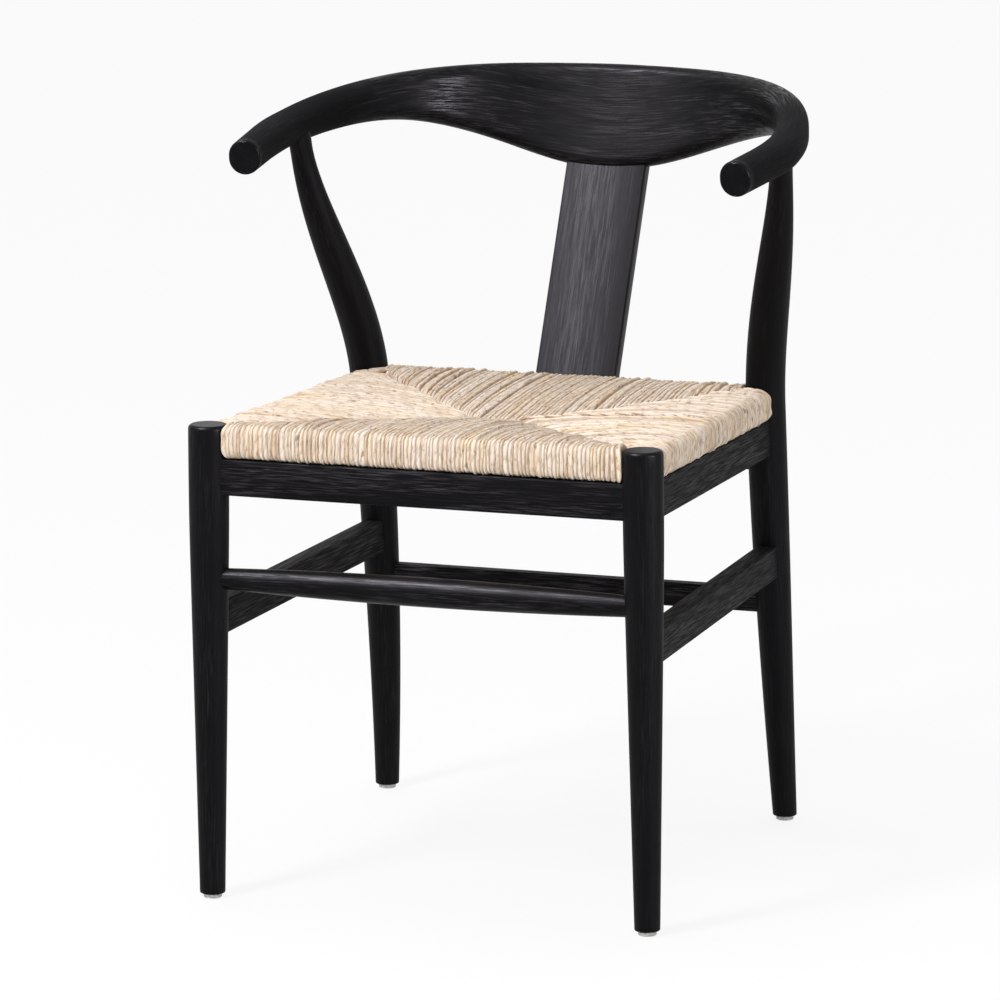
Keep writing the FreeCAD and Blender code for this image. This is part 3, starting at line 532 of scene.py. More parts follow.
FRONT_FOOT_RADIUS = 12.2 * MM
FRONT_TAPER_LENGTH = 368 * MM
TAPER_BLEND = 16 * MM
FRONT_TOP_ROUND = 4 * MM
FOOT_ROUND = 1.2 * MM
LEG_SPACING = 9 * MM
ROUND = round_outline(count=48)


def neck_radius(name):
    """The radius of a front leg's neck, which is as thick as the leg is deep."""
    low, high = corners_of(f"front_leg_{name}")
    return (high[1] - low[1]) / 2


def front_axis(name):
    """The foot and the top of a front leg's axis; the leg is furthest in at its neck."""
    low, high = corners_of(f"front_leg_{name}")
    foot = foot_of(f"front_{name}")
    inner_face = low[0] if SIDES[name] > 0 else high[0]
    return foot, np.array([inner_face + SIDES[name] * neck_radius(name), foot[1], high[2]])


FRONT_NECK_RADIUS = neck_radius("right")
front_axes = {name: front_axis(name) for name in SIDES}


def on_front_axis(name, z):
    """The point of a front leg's axis at a height."""
    foot, top = front_axes[name]
    return foot + (top - foot) * (z - foot[2]) / (top[2] - foot[2])


def front_leg(name):
    """A turned leg: its radius is the neck's, less a slope times the soft distance below the neck."""
    foot, top = front_axes[name]
    along, shrink = rounded_ends(np.linalg.norm(top - foot), LEG_SPACING, FOOT_ROUND, FRONT_TOP_ROUND)
    slope = (FRONT_NECK_RADIUS - FRONT_FOOT_RADIUS) / FRONT_TAPER_LENGTH
    below = TAPER_BLEND * np.logaddexp(0, (FRONT_TAPER_LENGTH - along) / TAPER_BLEND)
    radius = FRONT_NECK_RADIUS - slope * below - shrink
    points, flat = carried(*straight(foot, top, along, BACK), ROUND, 0.0, radius)
    surface = polished_end(LEG_SURFACE, along[-1] - along)
    wood(f"turned_front_leg_{name}", f"front_leg_{name}", points, along, flat, surface, new_offset())


for name in SIDES:
    front_leg(name)

# Bow: stations from the middle of the back to the tip of an arm

BOW_TURNS = np.array([0, 17, 41, 63, 76.5, 90])
BOW_HEIGHTS = np.array([107, 81, 50, 40, 37.25, 34.5, 34.5, 34.5]) * MM
BOW_THICKS = np.array([22, 24, 28.5, 30, 33.5, 37, 34.25, 31.5]) * MM
BOW_LEANS = np.radians([18, 15, 5, 0, 0, 0, 0, 0])
BOW_DROPS = np.array([0, 0, 3.5, 12, 19.25, 26.5, 30.5, 34.5]) * MM
BOW_SIDE_POWER = 2.8
BOW_BACK_POWER = 1.9
TIP_SHARES = np.array([0.5, 1.0])
TIP_POWER = 1.3
TIP_INSET = 9.5 * MM
TIP_REACH = 100 * MM
TIP_RIM = 2.5 * MM
BOW_ROUNDNESS = 0.94
ROUND_BELOW = (1.2, 2.0)
BOW_SPACING = 4.5 * MM
BOW_OUTLINE = board_outline(corner_steps=12, flat_steps=8)
FACE_ENDS = 0.42
ARM_STARTS = 0.62
CORNER_STATION = 2

# Columns of a station after the three of its middle
HEIGHT, THICK, LEAN = 3, 4, 5


def bow_stations():
    """Middle, height, thickness and lean at each station of the whole bow, from left tip to right tip.

    The plan is x = a sin(t)^(2/m), y = b cos(t)^(2/n) from back to arm, and then bends in to the tip.
    Every section's highest point lies a given drop below the top of the chair.
    """
    radius = BOW_ROUNDNESS * np.minimum(BOW_HEIGHTS, BOW_THICKS) / 2
    flat_height = BOW_HEIGHTS / 2 - radius
    flat_thick = BOW_THICKS / 2 - radius
    upward = flat_height * np.cos(BOW_LEANS) + flat_thick * np.sin(BOW_LEANS) + radius
    outward = flat_height * np.sin(BOW_LEANS) + flat_thick * np.cos(BOW_LEANS) + radius
    high = CAD_BOX[1]
    half_width = high[0] - BOW_THICKS[len(BOW_TURNS) - 1] / 2
    depth = high[1] - outward[0]
    turns = np.radians(BOW_TURNS)
    x = half_width * np.sin(turns) ** (2 / BOW_SIDE_POWER)
    y = depth * np.clip(np.cos(turns), 0, None) ** (2 / BOW_BACK_POWER)
    x = np.concatenate([x, half_width - TIP_INSET * TIP_SHARES ** TIP_POWER])
    y = np.concatenate([y, -TIP_REACH * TIP_SHARES])
    z = high[2] - BOW_DROPS - upward
    half = np.column_stack([x, y, z, BOW_HEIGHTS, BOW_THICKS, BOW_LEANS])
    mirrored = half[:0:-1] * np.array([-1, 1, 1, 1, 1, 1])
    return np.concatenate([mirrored, half])


STATIONS = bow_stations()
BOW_KNOTS = np.concatenate([[0], np.cumsum(np.linalg.norm(np.diff(STATIONS[:, :3], axis=0), axis=1))])


def bow_at(at):
    """The bow's row of sizes at distances along it."""
    return spline(BOW_KNOTS, STATIONS, at)


def bow_rings(at):
    """The bow's sections at distances along it; those about as tall as they are thick are round."""
    rows = bow_at(at)
    directions = unit(bow_at(at + TANGENT_STEP)[:, :3] - bow_at(at - TANGENT_STEP)[:, :3])
    outward = unit(np.cross(UP, directions))
    square = np.cross(directions, outward)
    lean = rows[:, LEAN:]
    ups = square * np.cos(lean) + outward * np.sin(lean)
    half = rows[:, [THICK, HEIGHT]] / 2
    roundness = np.interp(half[:, 1] / half[:, 0], ROUND_BELOW, (1.0, BOW_ROUNDNESS))
    radius = roundness * half.min(axis=1)
    return rows[:, :3], directions, ups, half, radius


def bow_piece(name, node, start, end, start_rim=0.0, end_rim=0.0):
    """A stretch of the bow between two distances along it; a tip's rim is rounded past its last section."""
    start, end = start - start_rim, end + end_rim
    along, shrink = rounded_ends(end - start, BOW_SPACING, start_rim, end_rim)
    at = start + along
    inside = np.clip(at, BOW_KNOTS[0], BOW_KNOTS[-1])
    centres, directions, ups, half, radius = bow_rings(inside)
    centres = centres + directions * (at - inside)[:, None]
    points, flat = carried(centres, directions, ups, BOW_OUTLINE, half - shrink[:, None], radius - shrink)
    from_middle = np.abs(at - BOW_KNOTS[-1] / 2) / (BOW_KNOTS[-1] / 2)
    share = ease(np.clip((ARM_STARTS - from_middle) / (ARM_STARTS - FACE_ENDS), 0, 1))[:, None]
    surface = ARM_SURFACE + (FACE_SURFACE - ARM_SURFACE) * share
    surface = polished_end(surface, np.minimum(at - BOW_KNOTS[0], BOW_KNOTS[-1] - at) + TIP_RIM)
    wood(name, node, points, at, flat, surface, bow_offset)


bow_offset = new_offset()
middle_knot = len(BOW_KNOTS) // 2
left_joint = BOW_KNOTS[middle_knot - CORNER_STATION]
right_joint = BOW_KNOTS[middle_knot + CORNER_STATION]
bow_piece("bent_back_rail", "back_rail", left_joint, right_joint)
bow_piece("bent_left_arm", "left_arm", BOW_KNOTS[0], left_joint, start_rim=TIP_RIM)
bow_piece("bent_right_arm", "right_arm", right_joint, BOW_KNOTS[-1], end_rim=TIP_RIM)

# Shaped rear legs

REAR_FOOT_RADIUS = 12 * MM
REAR_KNEE_RADIUS = 19.5 * MM
REAR_TOP_RADIUS = 10.25 * MM
REAR_TOP_INSET = 6.3 * MM
REAR_KNEE_SPREAD = 415 * MM
REAR_KNEE_Y = 126.5 * MM
REAR_KNEE_Z = 430 * MM
REAR_TOP_Y = 43 * MM
SHIN_BOW_IN = 2.5 * MM
SHIN_BOW_BACK = 4 * MM
NECK_POWER = 1.8
ARM_FLARE = 4 * MM
FLARE_LENGTH = 9 * MM
ARM_SAMPLES = 400


def rear_top(side):
    """Where a rear leg's axis ends, inside its arm, and the arm's height there."""
    at = np.linspace(right_joint, BOW_KNOTS[-1], ARM_SAMPLES)
    rows = bow_at(at)
    nearest = np.argmin(np.abs(rows[:, 1] - REAR_TOP_Y))
    top = rows[nearest, :3] - RIGHT * REAR_TOP_INSET
    return top * np.array([side, 1, 1]), rows[nearest, HEIGHT]


def rear_axis(name, z):
    """Points of a rear leg's axis: a slightly bowed shin, then an eased step out to the arm."""
    side = SIDES[name]
    foot = foot_of(f"rear_{name}")
    knee = np.array([side * REAR_KNEE_SPREAD / 2, REAR_KNEE_Y, REAR_KNEE_Z])
    top = rear_top(side)[0]
    share = ((z - foot[2]) / (knee[2] - foot[2]))[:, None]
    bulge = 4 * share * (1 - share)
    shin = foot + (knee - foot) * share + np.array([-side * SHIN_BOW_IN, SHIN_BOW_BACK, 0]) * bulge
    slope = (knee[1] - foot[1]) / (knee[2] - foot[2])
    rise = ((z - knee[2]) / (top[2] - knee[2]))[:, None]
    ahead = np.column_stack([np.zeros_like(z), slope * (z - knee[2]), z - knee[2]])
    step = np.array([top[0] - knee[0], top[1] - knee[1] - slope * (top[2] - knee[2]), 0])
    return np.where(share <= 1, shin, knee + ahead + step * ease(np.clip(rise, 0, 1)))


def rear_radius(z, top_z):
    """A leg that swells up its shin, r = foot + (knee - foot) sin(90 s), and thins above its knee."""
    foot_z = foot_of("rear_left")[2]
    shin = np.clip((z - foot_z) / (REAR_KNEE_Z - foot_z), 0, 1)
    bend = np.clip((z - REAR_KNEE_Z) / (top_z - REAR_KNEE_Z), 0, 1)
    swell = (REAR_KNEE_RADIUS - REAR_FOOT_RADIUS) * np.sin(shin * math.pi / 2)
    thin = (REAR_KNEE_RADIUS - REAR_TOP_RADIUS) * ease(bend ** NECK_POWER)
    return REAR_FOOT_RADIUS + swell - thin


def rear_leg(name):
    """A round leg along its axis, with a small flare along the arm where it meets it."""
    top, arm_height = rear_top(SIDES[name])
    foot_z = foot_of(f"rear_{name}")[2]
    along, shrink = rounded_ends(top[2] - foot_z, LEG_SPACING, FOOT_ROUND)
    z = foot_z + along
    centres = rear_axis(name, z)
    directions = unit(rear_axis(name, z + TANGENT_STEP) - rear_axis(name, z - TANGENT_STEP))
    level_foot = np.exp(-along / REAR_FOOT_RADIUS)[:, None]
    directions = unit(directions * (1 - level_foot) + UP * level_foot)
    radius = rear_radius(z, top[2]) - shrink
    points, flat = carried(centres, directions, np.broadcast_to(BACK, centres.shape), ROUND, 0.0, radius)
    flare = ARM_FLARE * np.exp(-np.clip(top[2] - arm_height / 2 - z, 0, None) / FLARE_LENGTH)
    lengthways = flat[..., 1] / radius[:, None] * flare[:, None]
    points = points + BACK * lengthways[..., None]
    wood(f"shaped_rear_leg_{name}", f"rear_leg_{name}", points, along, flat, LEG_SURFACE, new_offset())


for name in SIDES:
    rear_leg(name)

# Rails, stretchers and the splat

BAR_OUTLINE = board_outline(corner_steps=4, flat_steps=2)
BAR_SPACING = 20 * MM
HIDDEN_END = 4 * MM
APRON_EDGE = 1.5 * MM
STRETCHER_EDGE = 2 * MM
SIDE_APRON_SECTION = (17 * MM, 36 * MM)
SIDE_STRETCHER_THICK = 20 * MM
REAR_APRON_THICK = 22 * MM
REAR_STRETCHER_THICK = 15 * MM


def rear_point(name, z):
    """The point of a rear leg's axis at a height."""
    return rear_axis(name, np.array([z]))[0]


def bar(name, node, start, end, section, edge, surface=RAIL_SURFACE, up=UP, hidden=HIDDEN_END):
    """A bar with eased edges; each end stops short of its point by a hidden length."""
    inset = unit(end - start) * hidden
    start, end = start + inset, end - inset
    along = rounded_ends(np.linalg.norm(end - start), BAR_SPACING)[0]
    half = np.array(section) / 2
    points, flat = carried(*straight(start, end, along, up), BAR_OUTLINE, half, edge)
    wood(name, node, points, along, flat, surface, new_offset())


def level_bar(node, axis, edge, thick=None, setback=0.0):
    """A level rail between two legs, as high as its node, and as deep unless a thickness is given."""
    z, section = rail_of(node)
    start, end = axis("left", z), axis("right", z)
    back = BACK * setback
    bar(f"sawn_{node}", node, start + back, end + back, (thick or section[0], section[1]), edge)


rear_low, rear_high = corners_of("rear_apron")
rear_middle = (rear_low + rear_high) / 2
rear_setback = rear_middle[1] - rear_point("left", rear_middle[2])[1]
level_bar("front_apron", on_front_axis, APRON_EDGE)
level_bar("rear_apron", rear_point, APRON_EDGE, REAR_APRON_THICK, rear_setback)
level_bar("rear_stretcher", rear_point, STRETCHER_EDGE, REAR_STRETCHER_THICK)


def side_rails(name):
    """The level stretcher and the sloping apron between the two legs of one side."""
    z, section = rail_of(f"{name}_stretcher")
    bar(f"sawn_{name}_stretcher", f"{name}_stretcher", on_front_axis(name, z), rear_point(name, z),
        (SIDE_STRETCHER_THICK, section[1]), STRETCHER_EDGE, SIDE_RAIL_SURFACE)
    front_z, rear_z = sloping_ends(f"{name}_apron", SIDE_APRON_SECTION)
    bar(f"sawn_{name}_apron", f"{name}_apron", on_front_axis(name, front_z), rear_point(name, rear_z),
        SIDE_APRON_SECTION, APRON_EDGE, SIDE_RAIL_SURFACE)


for name in SIDES:
    side_rails(name)

STRETCHER_END_RADIUS = 9.5 * MM


def front_stretcher():
    """A turned bar, thickest in its middle: r = end + (middle - end) 4 s (1 - s)."""
    z, section = rail_of("front_stretcher")
    start, end = on_front_axis("left", z), on_front_axis("right", z)
    length = np.linalg.norm(end - start)
    along = rounded_ends(length, LEG_SPACING)[0]
    share = along / length
    radius = STRETCHER_END_RADIUS + (section[1] / 2 - STRETCHER_END_RADIUS) * 4 * share * (1 - share)
    points, flat = carried(*straight(start, end, along, UP), ROUND, 0.0, radius)
    wood("turned_front_stretcher", "front_stretcher", points, along, flat, TURNED_SURFACE, new_offset())


front_stretcher()

SPLAT_SECTION = (84 * MM, 14 * MM)
SPLAT_EDGE = 1.6 * MM
SPLAT_SETBACK = 3 * MM
SPLAT_SCRIBE = 10 * MM
SPLAT_HOUSING = 5 * MM


def back_splat():
    """A plain board from the rear apron's upper face to just inside the bow's lower edge."""
    foot = np.array([0.0, rear_middle[1] + SPLAT_SETBACK, rear_high[2]])
    back = STATIONS[middle_knot]
    down = np.array([0.0, -math.sin(back[LEAN]), -math.cos(back[LEAN])])
    head = back[:3] + down * back[HEIGHT] / 2
    way = unit(head - foot)
    bar("sawn_back_splat", "back_splat", foot - way * SPLAT_HOUSING, head + way * SPLAT_SCRIBE,
        SPLAT_SECTION, SPLAT_EDGE, SPLAT_SURFACE, up=np.cross(way, RIGHT), hidden=0.0)


back_splat()

# Woven seat: four panels of cord, each wound round its own rail

CORD_PITCH = 4.1 * MM
CORD_RISE = 2.2 * MM
CORD_PLACES = np.array([-1, -0.78, -0.4, 0, 0.4, 0.78])
WEAVE_THICK = 5.5 * MM
ROLL_ROUND = 7.5 * MM
SIDE_RAIL_SECTION = (10 * MM, 17 * MM)
SEAM_HALF = 20 * MM
SEAT_DIP = 12 * MM
SEAT_MIDDLE_THICK = 20 * MM
SEAM_VALLEY = 2.5 * MM
PANEL_PUFF = 3 * MM
PUFF_LENGTH = 40 * MM
CREST_POWER = 1.6
DIVE = 4.5 * MM
DIVE_LENGTH = 4 * MM
LEG_GAP = 0.8 * MM
HUG_SHARE = 0.9
HUG_LENGTH = 34 * MM
SLOPE_STEP = 5 * MM
SOLE_DROP = 2.4 * MM
REAR_RISE = 4.6 * MM
SIDE_RISE = {"left": 0.0, "right": 2.5 * MM}

# Steps along a cord, which crowd towards its seam
TOP_STEPS = 34
UNDER_STEPS = 14
ARC_STEPS = 6
FACE_STEPS = 7
STEP_POWER = 1.4
BEND_START = TOP_STEPS - 2
BEND_STEPS = 6

# How far cords differ from each other
WIDTH_SPREAD = 0.24
WIDTH_LIMITS = (0.6, 1.6)
HEIGHT_SPREAD = 0.26
HEIGHT_LIMITS = (0.5, 2.0)
PROUD_FROM = 1.1
PROUD_RISE = 0.35
ROLL_EVENNESS = 0.6
SWELL = 0.12
SWELL_KNOTS = 27
GAP_DEPTH = 1.2 * MM
GAP_POWER = 3
SEAM_JITTER = 1.8 * MM
JITTER_LENGTH = 12 * MM
WANDER = 0.65 * MM
WANDER_KNOTS = 9
MIDDLE_TONE = 0.5
TONE_SPREAD = 0.13
# Painted shading of each panel's top: darker on the front, lighter on the rear and sides, most on the right
FRONT_PAINTED_SHADING = -0.08
REAR_PAINTED_SHADING = 0.06
SIDE_PAINTED_SHADING = {"left": 0.06, "right": 0.2}
TIGHT_CORDS = 2
TIGHTNESS = {"left": 0.45, "right": 1.0}
HARD_RISE = 0.2
CORD_BY_FRONT_LEG = {"left": -1, "right": 0}


def corner_heights(*rails):
    """The top and the underside of the cords at a corner: the mean of those on its two rails."""
    tops = [z + roll[1] / 2 + WEAVE_THICK for z, roll in rails]
    soles = [z - roll[1] / 2 - WEAVE_THICK for z, roll in rails]
    return sum(tops) / 2, sum(soles) / 2


front_rail_z, FRONT_ROLL = rail_of("front_seat_rail")
rear_rail_z, REAR_ROLL = rail_of("rear_seat_rail")
side_front_z, side_rear_z = sloping_ends("right_seat_rail", SIDE_RAIL_SECTION)
front_crest, front_sole = corner_heights((front_rail_z, FRONT_ROLL), (side_front_z, SIDE_RAIL_SECTION))
rear_crest, rear_sole = corner_heights((rear_rail_z, REAR_ROLL), (side_rear_z, SIDE_RAIL_SECTION))
seat_middle_y = (on_front_axis("left", front_rail_z)[1] + rear_point("left", rear_rail_z)[1]) / 2
SEAT_MIDDLE = np.array([0.0, seat_middle_y, 0.0])
seam_top_z = (front_crest + rear_crest) / 2 - SEAT_DIP


def seam_row(place, top_z, under_z):
    """A point of a seam, with the heights of its upper and lower lines."""
    return np.array([place[0], place[1], top_z, under_z])


APEXES = {name: seam_row(SEAT_MIDDLE + RIGHT * side * SEAM_HALF, seam_top_z, seam_top_z - SEAT_MIDDLE_THICK)
          for name, side in SIDES.items()}
FRONT_CORNERS = {name: seam_row(on_front_axis(name, front_rail_z), front_crest - SEAM_VALLEY,
                                front_sole + SEAM_VALLEY) for name in SIDES}
REAR_CORNERS = {name: seam_row(rear_point(name, rear_rail_z), rear_crest + REAR_RISE - SEAM_VALLEY,
                               rear_sole + SEAM_VALLEY) for name in SIDES}


def smooth_noise(rows, steps, knots):
    """Random rows that run smoothly along their steps: normal draws at a few knots, joined by lines."""
    draws = random.normal(size=(rows, knots))
    place = np.linspace(0, knots - 1, steps)
    hat = np.clip(1 - np.abs(place[:, None] - np.arange(knots)), 0, 1)
    return draws @ hat.T


def cord_path(seam, rail):
    """The line of a cord in the plane of outward and up, from its seam over the roll and back below it.

    The upper stretch is z = seam + (crest - seam) (1 - (1 - t)^p) plus a puff 4 t (1 - t), and it
    dives at the seam. The roll is half of a round-cornered rectangle, and the lower stretch is like
    the upper one. Gives outward and up for every column and step.
    """
    seam_out, seam_top, seam_under = seam
    rail_out, rail_z, half_thick, above, below = rail
    turn = np.linspace(0, math.pi / 2, ARC_STEPS + 1)
    arc_out = half_thick - ROLL_ROUND * (1 - np.sin(turn))
    arc_fall = ROLL_ROUND * (1 - np.cos(turn))
    down = np.linspace(0, 1, FACE_STEPS + 1)[1:-1]
    face = above - ROLL_ROUND - (above + below - 2 * ROLL_ROUND) * down
    roll_out = np.concatenate([[0], arc_out, np.full(len(down), half_thick), arc_out[::-1], [0]])
    roll_up = np.concatenate([above, above - arc_fall, face, arc_fall[::-1] - below, -below], axis=1)
    length = rail_out - seam_out
    puff = PANEL_PUFF * length / (length + PUFF_LENGTH)

    def stretch(steps, start, end, sign):
        share = np.linspace(0, 1, steps + 1)[:-1] ** STEP_POWER
        climb = 1 - (1 - share) ** CREST_POWER
        rise = start + (end - start) * climb + sign * puff * 4 * share * (1 - share)
        return length * share, rise - sign * DIVE * np.exp(-(length * share / DIVE_LENGTH) ** 2)

    top_out, top_up = stretch(TOP_STEPS, seam_top, rail_z + above, 1)
    under_out, under_up = stretch(UNDER_STEPS, seam_under, rail_z - below, -1)
    out = np.concatenate([seam_out + top_out, rail_out + roll_out, (seam_out + under_out)[:, ::-1]], axis=1)
    up = np.concatenate([top_up, rail_z + roll_up, under_up[:, ::-1]], axis=1)
    return out, up


def leg_hug(radius, beyond, from_end):
    """How far cords by a round leg move up to it: r - sqrt(r^2 - b^2) at b beyond its middle.

    The move fades with the distance from the leg, as the square of the share that is left.
    """
    reach = np.clip(beyond, 0, HUG_SHARE * radius)
    return (radius - np.sqrt(radius ** 2 - reach ** 2)) * np.clip(1 - from_end / HUG_LENGTH, 0, 1) ** 2


def leg_slope(axis, name, z):
    """How a leg's axis moves for each metre of height."""
    return (axis(name, z + SLOPE_STEP) - axis(name, z - SLOPE_STEP)) / (2 * SLOPE_STEP)


def panel_places(rows, outward):
    """The order of rows across a panel, and their places across it and outward, in that order."""
    from_middle = np.array(rows)[:, :3] - SEAT_MIDDLE
    across = from_middle @ np.cross(-outward, UP)
    order = np.argsort(across)
    return order, across[order], (from_middle @ outward)[order]


def cord_columns(start, end):
    """The edges of cords side by side, which differ in width, and the columns that lie on them.

    A column is a line along a cord: it has the number of its cord and a place q across it, from -1 to 1.
    """
    count = round((end - start) / CORD_PITCH)
    widths = np.clip(1 + WIDTH_SPREAD * random.normal(size=count), *WIDTH_LIMITS)
    edges = start + (end - start) * np.concatenate([[0], np.cumsum(widths)]) / widths.sum()
    cord = np.append(np.repeat(np.arange(count), len(CORD_PLACES)), count - 1)
    place = np.append(np.tile(CORD_PLACES, count), 1.0)
    return edges, cord, place


def hardness(edges, tightness, bound):
    """How hard each cord is twisted: the middle ones by the tightness, and the bound one fully."""
    hard = np.zeros(len(edges) - 1)
    hard[np.argsort(np.abs(edges[1:] + edges[:-1]))[:TIGHT_CORDS]] = tightness
    if bound is not None:
        hard[bound] = 1.0
    return hard


def ridge(place):
    """A cord's round back, sqrt(1 - q^2)."""
    return np.sqrt(1 - place ** 2)[:, None]


def cord_lift(cord, place, hard, on_top):
    """How far each column stands off the panel's smooth surface at each step.

    It is a cord's height times its ridge, less the depth of a gap between two cords. Heights differ from
    cord to cord, less so round the rail than on top, and swell along a cord. Some cords stand proud.
    """
    count, steps = len(hard), len(on_top)
    uneven = random.normal(size=count)
    proud = PROUD_RISE * (uneven > PROUD_FROM)
    level = 1 + (HEIGHT_SPREAD * uneven + proud)[:, None] * (1 - ROLL_EVENNESS * (1 - on_top))
    height = CORD_RISE * np.clip(level, *HEIGHT_LIMITS) * (1 + HARD_RISE * hard)[:, None]
    height = height * (1 + SWELL * smooth_noise(count, steps, SWELL_KNOTS))
    depth = GAP_DEPTH * random.random(count + 1) ** GAP_POWER
    gap = np.where(place == -1, depth[cord], 0)
    gap[-1] = depth[-1]
    return height[cord] * ridge(place) - gap[:, None]


def swayed_places(across, cord, share, steps):
    """Places across a panel that wander along the cords: all edges but the outer two sway by themselves."""
    sway = WANDER * smooth_noise(cord[-1] + 2, steps, WANDER_KNOTS)
    sway[[0, -1]] = 0
    return across[:, None] + sway[cord] * (1 - share)[:, None] + sway[cord + 1] * share[:, None]


def cord_tones(cord, place, on_top, painted_top_shading):
    """A tone for each cord, their mean on the edge of two cords, and a painted shading of the top."""
    tones = np.clip(MIDDLE_TONE + TONE_SPREAD * random.normal(size=cord[-1] + 1), 0, 1)
    between = (tones[cord] + tones[np.maximum(cord - 1, 0)]) / 2
    return np.where(place == -1, between, tones[cord])[:, None] + painted_top_shading * on_top


def woven_panel(name, outward, seams, rail_ends, roll, legs, rises, painted_top_shading, tightness=0.0, bound=None):
    """One panel: columns of cord that go once round it, from the seam over the rail and back below.

    The legs, each a radius and a slope, stand at the two ends of the rail, and the rises lift its crest
    there. Cords move from side to side, up to the legs and along the legs' slopes.
    """
    across_way = np.cross(-outward, UP)
    order, seam_across, seam_out = panel_places(seams, outward)
    seams = np.array(seams)[order]
    order, rail_across, rail_out = panel_places(rail_ends, outward)
    rail_z = np.array(rail_ends)[order, 2]
    rises = np.array(rises)[order]
    radii = np.array([radius for radius, slope in legs])[order]
    leans = np.array([slope @ across_way for radius, slope in legs])[order]
    start, end = rail_across[0] + radii[0] + LEG_GAP, rail_across[1] - radii[1] - LEG_GAP
    edges, cord, place = cord_columns(start, end)
    hard = hardness(edges, tightness, bound)
    share = (place + 1) / 2
    across = edges[cord] + (edges[cord + 1] - edges[cord]) * share

    def seam_at(numbers):
        return np.interp(across, seam_across, numbers)[:, None]

    def rail_at(numbers):
        return np.interp(across, rail_across, numbers)[:, None]

    half_thick = roll[0] / 2 + WEAVE_THICK - CORD_RISE
    half_height = roll[1] / 2 + WEAVE_THICK - CORD_RISE
    seam = (seam_at(seam_out), seam_at(seams[:, 2]) - CORD_RISE, seam_at(seams[:, 3]) + CORD_RISE)
    below = np.full((len(across), 1), half_height + SOLE_DROP)
    rail = (rail_at(rail_out), rail_at(rail_z), half_thick, half_height + rail_at(rises), below)
    out, up = cord_path(seam, rail)
    on_top = 1 - np.clip((np.arange(out.shape[1]) - BEND_START) / BEND_STEPS, 0, 1)
    travelled = np.cumsum(np.hypot(np.diff(out, axis=1, prepend=out[:, :1]),
                                   np.diff(up, axis=1, prepend=up[:, :1])), axis=1)
    run_out, run_up = np.gradient(out, axis=1), np.gradient(up, axis=1)
    run = np.hypot(run_out, run_up)
    lift = cord_lift(cord, place, hard, on_top)
    jitter = SEAM_JITTER * random.normal(size=len(hard))[cord][:, None] * ridge(place)
    out = out - run_up / run * lift + jitter * np.exp(-travelled / JITTER_LENGTH)
    up = up + run_out / run * lift
    swayed = swayed_places(across, cord, share, out.shape[1])
    beyond = out - rail_at(rail_out)
    hug = leg_hug(radii[1], beyond, end - swayed) - leg_hug(radii[0], beyond, swayed - start)
    placed = swayed + rail_at(leans) * (up - rail_at(rail_z)) + hug
    points = SEAT_MIDDLE + placed[..., None] * across_way + out[..., None] * outward + up[..., None] * UP
    tone = cord_tones(cord, place, on_top, painted_top_shading)
    strand = np.stack([swayed, travelled, np.broadcast_to(place[:, None], swayed.shape)], axis=-1)
    piece = sleeve(name, points, {"strand": strand, "tone": tone, "tight": hard[cord][:, None] * on_top})
    dress(piece, "rush_cord", "woven_seat")


front_legs = {name: (FRONT_NECK_RADIUS, leg_slope(on_front_axis, name, front_rail_z)) for name in SIDES}
rear_legs = {name: (REAR_KNEE_RADIUS, leg_slope(rear_point, name, rear_rail_z)) for name in SIDES}
woven_panel("woven_front_panel", -BACK,
            [FRONT_CORNERS["left"], APEXES["left"], APEXES["right"], FRONT_CORNERS["right"]],
            [on_front_axis(name, front_rail_z) for name in SIDES], FRONT_ROLL, list(front_legs.values()),
            (0.0, 0.0), FRONT_PAINTED_SHADING)
woven_panel("woven_rear_panel", BACK,
            [REAR_CORNERS["left"], APEXES["left"], APEXES["right"], REAR_CORNERS["right"]],
            [rear_point(name, rear_rail_z) for name in SIDES], REAR_ROLL, list(rear_legs.values()),
            (REAR_RISE, REAR_RISE), REAR_PAINTED_SHADING)
for name, side in SIDES.items():
    woven_panel(f"woven_{name}_panel", RIGHT * side,
                [FRONT_CORNERS[name], APEXES[name], REAR_CORNERS[name]],
                [on_front_axis(name, side_front_z), rear_point(name, side_rear_z)], SIDE_RAIL_SECTION,
                [front_legs[name], rear_legs[name]], (0.0, SIDE_RISE[name]), SIDE_PAINTED_SHADING[name],
                TIGHTNESS[name], CORD_BY_FRONT_LEG[name])

# Cords that cross each corner of the seat behind its leg

CORNER_CORD_RADIUS = 2.3 * MM
CORNER_CORDS = {"front": 2, "rear": 4}
CORNER_SPACING = 1.8
CORNER_DIP = 6 * MM
CORNER_TONES = (0.35, 0.6)
CORNER_TIGHTNESS = 0.5
FRONT_CORNER_SINK = 4.6 * MM
REAR_CORNER_RISE = REAR_RISE / 4
CORNER_RINGS = 24
CORNER_SIDES = round_outline(count=12)


